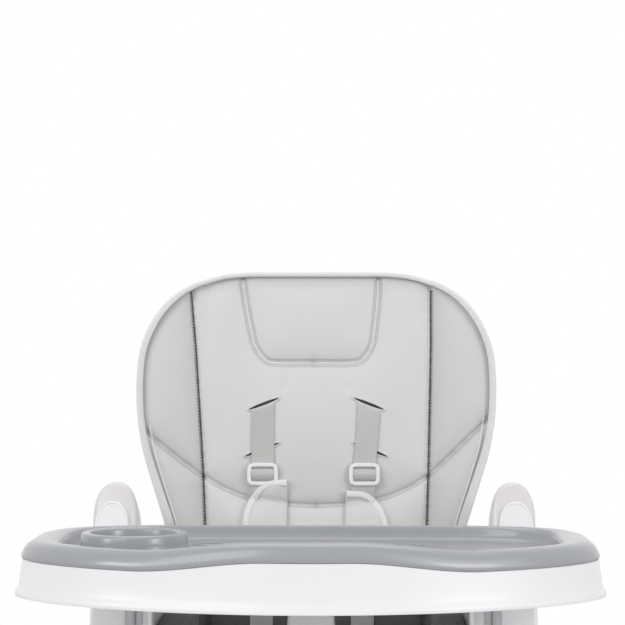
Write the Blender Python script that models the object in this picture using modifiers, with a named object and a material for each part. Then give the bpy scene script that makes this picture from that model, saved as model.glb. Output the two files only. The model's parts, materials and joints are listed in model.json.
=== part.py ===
"""Folding baby high chair with a reclining back, a sliding seat unit and a two-part tray.

Metres, +Z up, the child faces -Y. The origin is on the floor in the middle of the chair's footprint.
"""
import math

import bmesh
import bpy
from mathutils import Matrix, Vector

# Gap kept between neighbouring pieces, and the running clearance of a pin in its bore
GAP = 0.0003
PIN_CLEARANCE = 0.0004

# Overall sizes
TRAY_WIDTH = 0.580
TRAY_FRONT = 0.400
BACK_TOP = 1.050
COLUMN_TOP = 0.800
COLUMN_LEAN = math.radians(21.0)

# Front columns
COLUMN_X = 0.2126
COLUMN_WIDTH = 0.0478
COLUMN_DEPTH = 0.056
COLUMN_WALL = 0.0015
COLUMN_CORNER = 0.014
CAP_HEIGHT = 0.060
CAP_CROWN = 0.020
COVER_WIDTH = 0.0365
COVER_THICK = 0.003
COVER_INSET = 0.003
COVER_BOTTOM = -0.640
FOOT_HEIGHT = 0.030
FOOT_WIDTH = 0.058
FOOT_LENGTH = 0.088
CROSSBAR_DROP = 0.765
CROSSBAR_RADIUS = 0.012
RACK_DEPTH = 0.022
RACK_THICK = 0.008
RACK_TOP = -0.075
RACK_BOTTOM = -0.560
RACK_NOTCHES = 7
RACK_PITCH = 0.050
RACK_NOTCH_WIDTH = 0.010

# Rear frame
FOLD_AXIS_DROP = 0.200
FOLD_AXIS_BEHIND = 0.058
REAR_TUBE_WIDTH = 0.034
REAR_TUBE_DEPTH = 0.038
REAR_TUBE_WALL = 0.0012
REAR_TUBE_TOP = 0.012
BRACKET_CHEEK = 0.0045
BRACKET_HEIGHT = 0.052
FOLD_PIN_RADIUS = 0.004
WHEEL_RADIUS = 0.050
WHEEL_WIDTH = 0.026
WHEEL_HUB_RADIUS = 0.013
FORK_CHEEK = 0.006
FORK_DEPTH = 0.036
FORK_BRIDGE = 0.022
FORK_PLAY = 0.002
AXLE_RADIUS = 0.004
REAR_BAR_UP = 0.120
REAR_BAR_RADIUS = 0.011
PEDAL_LENGTH = 0.042
PEDAL_THICK = 0.006
LATCH_LENGTH = 0.060
LATCH_THICK = 0.007

# Seat unit
CARRIER_PLAY = 0.0002
CARRIER_THICK = 0.0182
CARRIER_DEPTH = 0.048
CARRIER_TOP = -0.034
CARRIER_BOTTOM = -0.330
SEAT_BOTTOM = 0.548
SEAT_WALL = 0.004
SEAT_CORNER = 0.045
TROUGH_ARC = (0.3, 0.8)
SEAT_REAR = 0.040
SEAT_FRONT = -0.210
ARM_BOTTOM = 0.7288
ARM_WIDTH = 0.0315
ARM_FRONT = -0.330
ARM_REAR = -0.018
SEAT_PAD_THICK = 0.030
SEAT_PAD_SIDE = 0.690
RAIL_INNER = 0.1080
RAIL_THICK = 0.0075
HINGE_PIN_RADIUS = 0.004
CROTCH_WIDTH = 0.048
CROTCH_DEPTH = 0.034
CROTCH_TOP = 0.700
CROTCH_FRONT = -0.202
STRAP_WIDTH = 0.0255
STRAP_THICK = 0.0016
BUCKLE_WIDTH = 0.050
BUCKLE_LENGTH = 0.048
BUCKLE_HEIGHT = 0.018
BUCKLE_FRONT = -0.140
BUTTON_WIDTH = 0.020
BUTTON_LENGTH = 0.022
BUTTON_POCKET = 0.005
BUTTON_PROUD = 0.0015
BUTTON_TRAVEL = 0.002
LEVER_HEIGHT = 0.034
LEVER_DEPTH = 0.018
LEVER_DROP = -0.215

# Backrest, measured from its hinge along the back
RECLINE_Y = 0.075
RECLINE_Z = 0.565
BACK_LEAN = math.radians(12.0)
PAD_FRONT = 0.027
BACK_PAD_THICK = 0.0255
BACK_PAD_BOTTOM = 0.035
BACK_SHELL_THICK = 0.006
BACK_SHELL_INSET = 0.010
BACK_SHELL_GAP = 0.0009
WING_START = 0.126
WING_LIFT = 0.020
WING_RELIEF = 0.008
BACK_OUTLINE = ((0.000, 0.144), (0.160, 0.165), (0.210, 0.181), (0.255, 0.196), (0.295, 0.203),
                (0.330, 0.2035), (0.362, 0.200), (0.395, 0.187), (0.421, 0.168), (0.440, 0.142), (0.455, 0.080))
STRAP_X = 0.060
STRAP_TOP = 0.344
STRAP_BOTTOM = 0.062
SLIDER_WIDTH = 0.033
SLIDER_HEIGHT = 0.0235
SLIDER_THICK = 0.003
SLIDER_FRAME = 0.0035
SLIDER_BASE = 0.248
SHOULDER_PAD_WIDTH = 0.050
SHOULDER_PAD_THICK = 0.010
SHOULDER_PAD_BOTTOM = 0.110
SHOULDER_PAD_TOPS = {"L": 0.2472, "R": 0.2352}
RECLINE_BARREL = 0.009
RECLINE_FLANGE = 0.003
RECLINE_FLANGE_TOP = 0.070
HANDLE_WIDTH = 0.090
HANDLE_HEIGHT = 0.030
HANDLE_DEPTH = 0.018
HANDLE_BASE = 0.350

# Leg rest, measured from its hinge down the board
LEGREST_Y = -0.222
LEGREST_Z = 0.536
LEGREST_LEAN = math.radians(10.0)
CALF_LENGTH = 0.198
CALF_WIDTH = 0.208
CALF_THICK = 0.008
CALF_BARREL = 0.007
CALF_PAD_THICK = 0.015
CALF_PAD_TOP = 0.022
CALF_PAD_BOTTOM = 0.160
FOOTREST_DEPTH = 0.072
FOOTREST_THICK = 0.007

# Tray
TRAY_BOTTOM = 0.727
TRAY_SPLIT = 0.763
TRAY_RIM = 0.781
TRAY_FLOOR = 0.7666
TRAY_REAR = -0.080
TRAY_WIDEST = -0.235
TRAY_WALL = 0.003
TRAY_DECK = 0.003
TRAY_FLARE = 0.007
TRAY_FRONT_POWER = 1.85
TRAY_REAR_POWER = 5.0
TRAY_SEGMENTS = 64
RECESS_HALF_WIDTH = 0.245
RECESS_FRONT = -0.368
RECESS_REAR = -0.094
INSERT_SKIN = 0.0025
HUMP_HEIGHT = 0.012
HUMP_FLAT = 0.050
HUMP_END = 0.115
CUP_X = -0.171
CUP_Y = -0.250
CUP_OUTER = 0.052
CUP_HOLE = 0.042
CUP_TOP = 0.789
RELEASE_WIDTH = 0.090
RELEASE_DEPTH = 0.026
RELEASE_HEIGHT = 0.018
RELEASE_BEHIND_FRONT = 0.010

# Worked out from the sizes above
COLUMN_INNER = COLUMN_X - COLUMN_WIDTH / 2
CARRIER_OUTER = COLUMN_INNER - GAP - RACK_THICK - CARRIER_PLAY
CARRIER_INNER = CARRIER_OUTER - CARRIER_THICK
DECK_TOP = TRAY_FLOOR - INSERT_SKIN - GAP
ARM_TOP = DECK_TOP - TRAY_DECK - GAP
SEAT_HALF_WIDTH = CARRIER_INNER - GAP
SEAT_PAD_TOP = SEAT_BOTTOM + SEAT_WALL + GAP + SEAT_PAD_THICK
WHEEL_Y = TRAY_FRONT - WHEEL_RADIUS
FOLD_AXIS = Vector((0.0, -FOLD_AXIS_DROP * math.tan(COLUMN_LEAN) + FOLD_AXIS_BEHIND / math.cos(COLUMN_LEAN),
                    COLUMN_TOP - FOLD_AXIS_DROP))
REAR_REACH = math.hypot(WHEEL_Y - FOLD_AXIS.y, FOLD_AXIS.z - WHEEL_RADIUS)
REAR_LEAN = math.atan2(WHEEL_Y - FOLD_AXIS.y, FOLD_AXIS.z - WHEEL_RADIUS)
BACK_LENGTH = (BACK_TOP - RECLINE_Z) / math.cos(BACK_LEAN) - PAD_FRONT * math.tan(BACK_LEAN)
SIDES = {"L": -1.0, "R": 1.0}

PLANES = {
    "XY": Matrix.Identity(4),
    "XZ": Matrix.Rotation(math.radians(90.0), 4, "X"),
    "YZ": Matrix(((0, 0, 1, 0), (1, 0, 0, 0), (0, 1, 0, 0), (0, 0, 0, 1))),
}


def clear_scene():
    for item in list(bpy.data.objects):
        bpy.data.objects.remove(item, do_unlink=True)


def new_collection(name):
    collection = bpy.data.collections.new(name)
    bpy.context.scene.collection.children.link(collection)
    return collection


def material(name, color, roughness, metallic=0.0):
    made = bpy.data.materials.new(name)
    made.use_nodes = True
    shader = made.node_tree.nodes["Principled BSDF"]
    shader.inputs["Base Color"].default_value = (*color, 1.0)
    shader.inputs["Roughness"].default_value = roughness
    shader.inputs["Metallic"].default_value = metallic
    return made


def empty(name, parent=None, place=(0.0, 0.0, 0.0), tilt=0.0):
    """An empty whose local Z leans back (+Y) by tilt."""
    holder = bpy.data.objects.new(name, None)
    holder.empty_display_size = 0.05
    holder.parent = parent
    holder.location = place
    holder.rotation_euler = (-tilt, 0.0, 0.0)
    PARTS.objects.link(holder)
    return holder


def link(name, mesh, parent, look):
    node = bpy.data.objects.new(name, mesh)
    node.parent = parent
    mesh.name = name
    mesh.materials.clear()
    mesh.materials.append(look)
    PARTS.objects.link(node)
    return node


def smooth(node, angle=40.0):
    node.data.shade_smooth()
    node.data.set_sharp_from_angle(angle=math.radians(angle))


def bevel(node, width, segments=1):
    edge = node.modifiers.new("rounded_edges", "BEVEL")
    edge.width = width
    edge.segments = segments
    edge.limit_method = "ANGLE"
    edge.angle_limit = math.radians(35.0)


def apply_modifiers(node):
    graph = bpy.context.evaluated_depsgraph_get()
    mesh = bpy.data.meshes.new_from_object(node.evaluated_get(graph))
    node.modifiers.clear()
    node.data = mesh


def curve_mesh(curve):
    """The curve's mesh with its loose caps welded on."""
    holder = bpy.data.objects.new("curve_to_mesh", curve)
    bpy.context.scene.collection.objects.link(holder)
    graph = bpy.context.evaluated_depsgraph_get()
    mesh = bpy.data.meshes.new_from_object(holder.evaluated_get(graph))
    bpy.data.objects.remove(holder, do_unlink=True)
    form = bmesh.new()
    form.from_mesh(mesh)
    bmesh.ops.remove_doubles(form, verts=form.verts, dist=1e-6)
    bmesh.ops.recalc_face_normals(form, faces=form.faces)
    form.to_mesh(mesh)
    form.free()
    return mesh


def extruded(name, loops, low, high, plane, parent, look, edge=0.0):
    """A flat outline (a loop, or a loop and its holes) extruded from low to high across its plane."""
    curve = bpy.data.curves.new(name, "CURVE")
    curve.dimensions = "2D"
    curve.fill_mode = "BOTH"
    curve.extrude = (high - low) / 2
    for loop in loops:
        spline = curve.splines.new("POLY")
        spline.points.add(len(loop) - 1)
        spline.use_cyclic_u = True
        for point, (across, up) in zip(spline.points, loop):
            point.co = (across, up, 0.0, 1.0)
    mesh = curve_mesh(curve)
    bpy.data.curves.remove(curve)
    middle = (low + high) / 2
    shift = Vector((0.0, 0.0, -middle if plane == "XZ" else middle))
    mesh.transform(PLANES[plane] @ Matrix.Translation(shift))
    node = link(name, mesh, parent, look)
    if edge:
        bevel(node, edge)
    return node


def rectangle(left, right, low, high):
    return [(left, low), (right, low), (right, high), (left, high)]


def rounded(left, right, low, high, radius, steps=4):
    """A rectangle with round corners."""
    loop = []
    corners = ((right, high, 0.0), (left, high, 90.0), (left, low, 180.0), (right, low, 270.0))
    for x, y, start in corners:
        centre_x = x - math.copysign(radius, x - (left + right) / 2)
        centre_y = y - math.copysign(radius, y - (low + high) / 2)
        for step in range(steps + 1):
            angle = math.radians(start + 90.0 * step / steps)
            loop.append((centre_x + radius * math.cos(angle), centre_y + radius * math.sin(angle)))
    return loop


def arch(left, right, low, crown, steps=10):
    """An upright strip with a half-round top that ends at the crown."""
    radius = (right - left) / 2
    loop = [(left, low), (right, low)]
    for step in range(steps + 1):
        angle = math.pi * step / steps
        loop.append(((left + right) / 2 + radius * math.cos(angle), crown - radius + radius * math.sin(angle)))
    return loop


def rod(name, start, end, radius, parent, look, sides=16):
    """A round bar between two points."""
    along = Vector(end) - Vector(start)
    form = bmesh.new()
    bmesh.ops.create_cone(form, cap_ends=True, segments=sides, radius1=radius, radius2=radius, depth=along.length)
    turn = along.to_track_quat("Z", "Y").to_matrix().to_4x4()
    bmesh.ops.transform(form, matrix=Matrix.Translation((Vector(start) + Vector(end)) / 2) @ turn, verts=form.verts)
    mesh = bpy.data.meshes.new(name)
    form.to_mesh(mesh)
    form.free()
    node = link(name, mesh, parent, look)
    smooth(node)
    return node


def turned(name, profile, centre, parent, look, steps=32):
    """A closed profile of (radius, height) points turned about the upright line through centre."""
    mesh = bpy.data.meshes.new(name)
    count = len(profile)
    mesh.from_pydata([(radius, 0.0, height) for radius, height in profile],
                     [(i, (i + 1) % count) for i in range(count)], [])
    node = link(name, mesh, parent, look)
    screw = node.modifiers.new("turn", "SCREW")
    screw.steps = steps
    screw.render_steps = steps
    screw.use_merge_vertices = True
    screw.merge_threshold = 0.00005
    apply_modifiers(node)
    fix_normals(node)
    node.data.transform(Matrix.Translation(centre))
    return node


def fix_normals(node):
    form = bmesh.new()
    form.from_mesh(node.data)
    bmesh.ops.remove_doubles(form, verts=form.verts, dist=1e-6)
    bmesh.ops.recalc_face_normals(form, faces=form.faces)
    form.to_mesh(node.data)
    form.free()


def combine(node, others, operation):
    """Cuts the others from the node, or joins them to it."""
    if node.modifiers:
        apply_modifiers(node)
    for other in others:
        change = node.modifiers.new(operation.lower(), "BOOLEAN")
        change.operation = operation
        change.solver = "EXACT"
        change.object = other
        for collection in list(other.users_collection):
            collection.objects.unlink(other)
        CUTTERS.objects.link(other)
        other.hide_render = True
        other.display_type = "WIRE"
    bpy.context.view_layer.update()
    apply_modifiers(node)


def sheet(name, place, columns, rows, thickness, parent, look):
    """A grid laid out by place(u, v), u from -1 to 1 and v from 0 to 1, and extruded back along +Y."""
    form = bmesh.new()
    bmesh.ops.create_grid(form, x_segments=columns, y_segments=rows, size=1.0)
    for vert in form.verts:
        vert.co = place(vert.co.x, (vert.co.y + 1.0) / 2)
    back = bmesh.ops.extrude_face_region(form, geom=list(form.faces))["geom"]
    moved = [item for item in back if isinstance(item, bmesh.types.BMVert)]
    bmesh.ops.translate(form, vec=(0.0, thickness, 0.0), verts=moved)
    bmesh.ops.recalc_face_normals(form, faces=form.faces)
    mesh = bpy.data.meshes.new(name)
    form.to_mesh(mesh)
    form.free()
    node = link(name, mesh, parent, look)
    smooth(node)
    return node


def ring_solid(name, rings, parent, look):
    """A closed body whose skin runs through rings of equal length, capped at the first and the last."""
    count = len(rings[0])
    form = bmesh.new()
    layers = [[form.verts.new(point) for point in ring] for ring in rings]
    for lower, upper in zip(layers, layers[1:]):
        for i in range(count):
            j = (i + 1) % count
            form.faces.new((lower[i], lower[j], upper[j], upper[i]))
    form.faces.new(layers[0])
    form.faces.new(layers[-1])
    bmesh.ops.recalc_face_normals(form, faces=form.faces)
    bmesh.ops.triangulate(form, faces=[face for face in form.faces if len(face.verts) > 4])
    mesh = bpy.data.meshes.new(name)
    form.to_mesh(mesh)
    form.free()
    node = link(name, mesh, parent, look)
    smooth(node)
    return node


def superellipse(angle, half_width, front, rear, widest, front_power, rear_power):
    """A point of the tray's plan outline: one power for the front half and one for the rear half."""
    across = math.cos(angle)
    along = math.sin(angle)
    power = front_power if along < 0 else rear_power
    reach = widest - front if along < 0 else rear - widest
    x = half_width * math.copysign(abs(across) ** (2 / power), across)
    y = widest + reach * math.copysign(abs(along) ** (2 / power), along)
    return x, y


def outline(angle, inset):
    return superellipse(angle, TRAY_WIDTH / 2 - inset, -TRAY_FRONT + inset, TRAY_REAR - inset, TRAY_WIDEST,
                        TRAY_FRONT_POWER, TRAY_REAR_POWER)


def recess(angle, inset):
    return superellipse(angle, RECESS_HALF_WIDTH - inset, RECESS_FRONT + inset, RECESS_REAR - inset, TRAY_WIDEST,
                        TRAY_FRONT_POWER, TRAY_REAR_POWER)


def hump(x, y):
    """How far the front rim rises in its middle."""
    if y > TRAY_WIDEST:
        return 0.0
    share = min(1.0, max(0.0, (HUMP_END - abs(x)) / (HUMP_END - HUMP_FLAT)))
    return HUMP_HEIGHT * share * share * (3.0 - 2.0 * share)


def tray_ring(shape, inset, height, waved=True):
    ring = []
    for i in range(TRAY_SEGMENTS):
        x, y = shape(2 * math.pi * (i + 0.5) / TRAY_SEGMENTS, inset)
        ring.append((x, y, height + (hump(x, y) if waved else 0.0)))
    return ring


def trough(half_width, bottom, top, corner, rear, front):
    """place(u, v) for a seat trough: u runs round the cross section, v from rear to front."""
    side = top - bottom - corner
    flat = half_width - corner
    arc_start, arc_end = TROUGH_ARC

    def place(u, v):
        run = abs(u)
        y = rear + (front - rear) * v
        if run <= arc_start:
            return Vector((flat * u / arc_start, y, bottom))
        if run <= arc_end:
            angle = math.pi / 2 * (run - arc_start) / (arc_end - arc_start)
            x = flat + corner * math.sin(angle)
            return Vector((math.copysign(x, u), y, bottom + corner * (1 - math.cos(angle))))
        up = corner + side * (run - arc_end) / (1.0 - arc_end)
        return Vector((math.copysign(half_width, u), y, bottom + up))
    return place


def wall(name, place, columns, rows, thickness, parent, look):
    """A grid laid out by place(u, v) and thickened to its inside with Solidify."""
    form = bmesh.new()
    bmesh.ops.create_grid(form, x_segments=columns, y_segments=rows, size=1.0)
    for vert in form.verts:
        vert.co = place(vert.co.x, (vert.co.y + 1.0) / 2)
    form.normal_update()
    if sum(face.normal.z for face in form.faces) > 0:
        bmesh.ops.reverse_faces(form, faces=form.faces)
    mesh = bpy.data.meshes.new(name)
    form.to_mesh(mesh)
    form.free()
    node = link(name, mesh, parent, look)
    solid = node.modifiers.new("wall", "SOLIDIFY")
    solid.thickness = thickness
    solid.offset = -1.0
    solid.use_even_offset = True
    apply_modifiers(node)
    smooth(node)
    return node


def back_half_width(height):
    points = BACK_OUTLINE
    for (low, narrow), (high, wide) in zip(points, points[1:]):
        if height <= high:
            return narrow + (wide - narrow) * (height - low) / (high - low)
    return points[-1][1]


def back_sheet(name, front, thickness, inset, wing_lift, bottom, parent, look):
    """The backrest's outline as a sheet with its wings bent forward from a straight fold."""
    heights = [height for height, _ in BACK_OUTLINE]
    widest = max(width for _, width in BACK_OUTLINE)
    stretch = (BACK_LENGTH - bottom) / heights[-1]

    def place(u, v):
        run = v * (len(heights) - 1)
        step = min(int(run), len(heights) - 2)
        height = heights[step] + (heights[step + 1] - heights[step]) * (run - step)
        half = back_half_width(height) - inset
        fold = min(WING_START, 0.8 * back_half_width(height))
        across = min(1.0, 2.0 * abs(u))
        beyond = max(0.0, 2.0 * abs(u) - 1.0)
        x = math.copysign(fold * across + (half - fold) * beyond, u)
        lift = wing_lift * max(0.0, abs(x) - WING_START) / (widest - WING_START)
        return Vector((x, front - lift, bottom + height * stretch - inset * v))
    return sheet(name, place, 8, len(BACK_OUTLINE) - 1, thickness, parent, look)


def front_columns(frame, column):
    for side, sign in SIDES.items():
        inner, outer = sorted((sign * COLUMN_INNER, sign * (COLUMN_INNER + COLUMN_WIDTH)))
        half = COLUMN_DEPTH / 2
        tube = rounded(inner, outer, -half, half, COLUMN_CORNER)
        bore = rounded(inner + COLUMN_WALL, outer - COLUMN_WALL, -half + COLUMN_WALL, half - COLUMN_WALL,
                       COLUMN_CORNER - COLUMN_WALL)
        foot_cut = FOOT_HEIGHT + GAP
        reach = -COLUMN_TOP / math.cos(COLUMN_LEAN)
        leg = extruded("front_leg_" + side, [tube, bore], reach, -CAP_HEIGHT - GAP, "XY", column, WHITE)
        block = extruded("foot_cutter_" + side, [rectangle(-0.5, 0.5, -0.5, 0.5)], -0.5, foot_cut, "XY", frame, WHITE)
        combine(leg, [block], "DIFFERENCE")
        cap = extruded("post_cap_" + side, [arch(inner, outer, -CAP_HEIGHT, CAP_CROWN)], -half, half, "XZ",
                       column, WARM_GREY)
        bevel(cap, 0.008, 2)
        middle = sign * (COLUMN_INNER + COLUMN_WIDTH - COVER_WIDTH / 2 - COVER_INSET)
        cover = [arch(middle - COVER_WIDTH / 2, middle + COVER_WIDTH / 2, COVER_BOTTOM, CAP_CROWN - 0.020)]
        extruded("post_cover_" + side, cover, -half - GAP - COVER_THICK, -half - GAP, "XZ", column, WHITE, 0.001)
        foot_y = -(COLUMN_TOP - FOOT_HEIGHT) * math.tan(COLUMN_LEAN)
        foot_x = sign * COLUMN_X
        sole = rounded(foot_x - FOOT_WIDTH / 2, foot_x + FOOT_WIDTH / 2, foot_y - FOOT_LENGTH / 2,
                       foot_y + FOOT_LENGTH / 2, COLUMN_CORNER)
        extruded("front_foot_" + side, [sole], 0.0, FOOT_HEIGHT, "XY", frame, RUBBER, 0.003)
        height_rack(side, sign, column)
    drop = -CROSSBAR_DROP
    ends = COLUMN_INNER - GAP
    rod("front_crossbar", (-ends, 0.0, drop), (ends, 0.0, drop), CROSSBAR_RADIUS, column, WHITE)


def height_rack(side, sign, column):
    """A strip on the column's inner face with a notch for each seat height."""
    low, high = sorted((sign * (COLUMN_INNER - GAP), sign * (COLUMN_INNER - GAP - RACK_THICK)))
    half = RACK_DEPTH / 2
    loop = [(-half, RACK_BOTTOM), (half, RACK_BOTTOM)]
    for i in range(RACK_NOTCHES):
        notch = RACK_BOTTOM + 0.040 + RACK_PITCH * i
        loop += [(half, notch), (half - RACK_NOTCH_WIDTH / 2, notch),
                 (half - RACK_NOTCH_WIDTH / 2, notch + RACK_NOTCH_WIDTH), (half, notch + RACK_NOTCH_WIDTH)]
    loop += [(half, RACK_TOP), (-half, RACK_TOP)]
    extruded("height_rack_" + side, [loop], low, high, "YZ", column, DARK_GREY)


def fold_brackets(column):
    """The bracket and pin on the back of each column that carry a rear leg."""
    up = -FOLD_AXIS_DROP / math.cos(COLUMN_LEAN) + FOLD_AXIS_BEHIND * math.tan(COLUMN_LEAN)
    behind = FOLD_AXIS_BEHIND
    front = COLUMN_DEPTH / 2 + GAP
    for side, sign in SIDES.items():
        x = sign * COLUMN_X
        inside = REAR_TUBE_WIDTH / 2 + PIN_CLEARANCE
        outside = inside + BRACKET_CHEEK
        rear = behind + REAR_TUBE_DEPTH / 2
        web = front + BRACKET_CHEEK
        loop = [(x - outside, front), (x + outside, front), (x + outside, rear), (x + inside, rear), (x + inside, web),
                (x - inside, web), (x - inside, rear), (x - outside, rear)]
        bracket = extruded("hinge_bracket_" + side, [loop], up - BRACKET_HEIGHT / 2, up + BRACKET_HEIGHT / 2, "XY",
                           column, DARK_GREY)
        cutter = rod("bracket_bore_" + side, (x - 0.05, behind, up), (x + 0.05, behind, up),
                     FOLD_PIN_RADIUS + PIN_CLEARANCE, column, STEEL)
        combine(bracket, [cutter], "DIFFERENCE")
        rod("hinge_pin_" + side, (x - outside - 0.001, behind, up), (x + outside + 0.001, behind, up),
            FOLD_PIN_RADIUS, column, STEEL)
        latch_x = sign * (COLUMN_X + outside + GAP)
        pivot_drop = up - BRACKET_HEIGHT / 2 + 0.008
        latch = empty("fold_latch_axis_" + side, column, (0.0, behind - 0.022, pivot_drop))
        low, high = sorted((latch_x, latch_x + sign * LATCH_THICK))
        extruded("fold_latch_" + side, [rounded(-0.009, 0.009, -LATCH_LENGTH, 0.009, 0.008)], low, high, "YZ", latch,
                 MID_GREY, 0.0015)


def rear_frame(rear, reach):
    for side, sign in SIDES.items():
        x = sign * COLUMN_X
        half_w = REAR_TUBE_WIDTH / 2
        half_d = REAR_TUBE_DEPTH / 2
        tube = rounded(x - half_w, x + half_w, -half_d, half_d, 0.012)
        bore = rounded(x - half_w + REAR_TUBE_WALL, x + half_w - REAR_TUBE_WALL, -half_d + REAR_TUBE_WALL,
                       half_d - REAR_TUBE_WALL, 0.012 - REAR_TUBE_WALL)
        wheel_top = -reach + WHEEL_RADIUS + FORK_PLAY
        tube_end = wheel_top + FORK_BRIDGE + GAP
        leg = extruded("rear_leg_" + side, [tube, bore], tube_end, REAR_TUBE_TOP, "XY", rear, WHITE)
        cutter = rod("leg_bore_" + side, (x - 0.05, 0.0, 0.0), (x + 0.05, 0.0, 0.0),
                     FOLD_PIN_RADIUS + PIN_CLEARANCE, rear, STEEL)
        combine(leg, [cutter], "DIFFERENCE")
        inside = WHEEL_WIDTH / 2 + FORK_PLAY
        outside = inside + FORK_CHEEK
        loop = [(x - outside, -reach - 0.014), (x - inside, -reach - 0.014), (x - inside, wheel_top),
                (x + inside, wheel_top), (x + inside, -reach - 0.014), (x + outside, -reach - 0.014),
                (x + outside, wheel_top + FORK_BRIDGE), (x - outside, wheel_top + FORK_BRIDGE)]
        fork = extruded("wheel_fork_" + side, [loop], -FORK_DEPTH / 2, FORK_DEPTH / 2, "XZ", rear, WHITE)
        bore_cut = rod("fork_bore_" + side, (x - 0.05, 0.0, -reach), (x + 0.05, 0.0, -reach),
                       AXLE_RADIUS + GAP, rear, STEEL)
        combine(fork, [bore_cut], "DIFFERENCE")
        rod("wheel_axle_" + side, (x - outside - 0.002, 0.0, -reach), (x + outside + 0.002, 0.0, -reach),
            AXLE_RADIUS, rear, STEEL)
        rear_wheel(side, sign, rear, reach)
        pedal = empty("brake_axis_" + side, rear, (0.0, FORK_DEPTH / 2 + GAP + PEDAL_THICK / 2, wheel_top + FORK_BRIDGE / 2))
        plate = rounded(-PEDAL_THICK / 2, PEDAL_LENGTH, -PEDAL_THICK / 2, PEDAL_THICK / 2, 0.0025, 2)
        extruded("brake_pedal_" + side, [plate], x - half_w, x + half_w, "YZ", pedal, MID_GREY)
    bar = -reach + REAR_BAR_UP
    ends = COLUMN_X - REAR_TUBE_WIDTH / 2 - GAP
    rod("rear_crossbar", (-ends, 0.0, bar), (ends, 0.0, bar), REAR_BAR_RADIUS, rear, WHITE)


def rear_wheel(side, sign, rear, reach):
    """Hub, web and tyre turned as one profile about the axle."""
    half = WHEEL_WIDTH / 2
    bore = AXLE_RADIUS + PIN_CLEARANCE
    profile = [(bore, half), (WHEEL_HUB_RADIUS, half), (WHEEL_HUB_RADIUS + 0.003, half - 0.007),
               (WHEEL_RADIUS - 0.016, half - 0.007), (WHEEL_RADIUS - 0.013, half), (WHEEL_RADIUS - 0.005, half),
               (WHEEL_RADIUS, half - 0.006)]
    profile += [(radius, -height) for radius, height in reversed(profile)]
    axis = empty("wheel_axis_" + side, rear, (sign * COLUMN_X, 0.0, -reach))
    wheel = turned("rear_wheel_" + side, profile, (0.0, 0.0, 0.0), axis, DARK_GREY, 28)
    wheel.data.transform(Matrix.Rotation(math.radians(90.0), 4, "Y"))
    smooth(wheel)


def seat_frame(seat, upright):
    for side, sign in SIDES.items():
        low, high = sorted((sign * CARRIER_INNER, sign * CARRIER_OUTER))
        half = CARRIER_DEPTH / 2
        extruded("seat_carrier_" + side, [rounded(low, high, -half, half, 0.005, 2)], CARRIER_BOTTOM, CARRIER_TOP,
                 "XY", seat, WHITE)
        arm_low, arm_high = sorted((sign * (CARRIER_OUTER - GAP - ARM_WIDTH), sign * (CARRIER_OUTER - GAP)))
        arm = extruded("tray_arm_" + side, [rounded(arm_low, arm_high, ARM_FRONT, ARM_REAR, 0.010)], ARM_BOTTOM,
                       ARM_TOP, "XY", upright, WHITE, 0.002)
        cutter = extruded("arm_notch_" + side, [rectangle(low - GAP, high + GAP, -half - GAP, half + GAP)],
                          CARRIER_BOTTOM, 0.05, "XY", seat, WHITE)
        combine(arm, [cutter], "DIFFERENCE")
        seat_rail(side, sign, upright)
        trigger = empty("height_lever_axis_" + side, seat, (0.0, half + GAP, LEVER_DROP))
        block = rounded(low + 0.001, high - 0.001, 0.0, LEVER_DEPTH, 0.004)
        extruded("height_lever_" + side, [block], -LEVER_HEIGHT / 2, LEVER_HEIGHT / 2, "XY", trigger, MID_GREY, 0.0015)


def seat_rail(side, sign, upright):
    """A plate under the seat with the bores of the back hinge and the leg rest hinge."""
    low, high = sorted((sign * RAIL_INNER, sign * (RAIL_INNER + RAIL_THICK)))
    top = SEAT_BOTTOM - GAP
    eye = 0.011
    loop = [(LEGREST_Y - 0.010, top), (LEGREST_Y - 0.010, LEGREST_Z - 0.010), (LEGREST_Y + 0.012, LEGREST_Z - 0.010),
            (LEGREST_Y + 0.060, top - 0.026), (0.0, top - 0.026), (RECLINE_Y + eye, RECLINE_Z - eye * 1.6),
            (RECLINE_Y + eye, RECLINE_Z + eye * 0.6), (RECLINE_Y + eye * 0.6, RECLINE_Z + eye),
            (RECLINE_Y - eye * 0.6, RECLINE_Z + eye), (RECLINE_Y - eye, RECLINE_Z + eye * 0.6), (RECLINE_Y - eye, top)]
    rail = extruded("seat_rail_" + side, [loop], low, high, "YZ", upright, WHITE)
    cutters = []
    for name, y, z in (("recline", RECLINE_Y, RECLINE_Z), ("legrest", LEGREST_Y, LEGREST_Z)):
        cutters.append(rod(name + "_bore_" + side, (low - 0.01, y, z), (high + 0.01, y, z),
                           HINGE_PIN_RADIUS + PIN_CLEARANCE, upright, STEEL))
    combine(rail, cutters, "DIFFERENCE")


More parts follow.
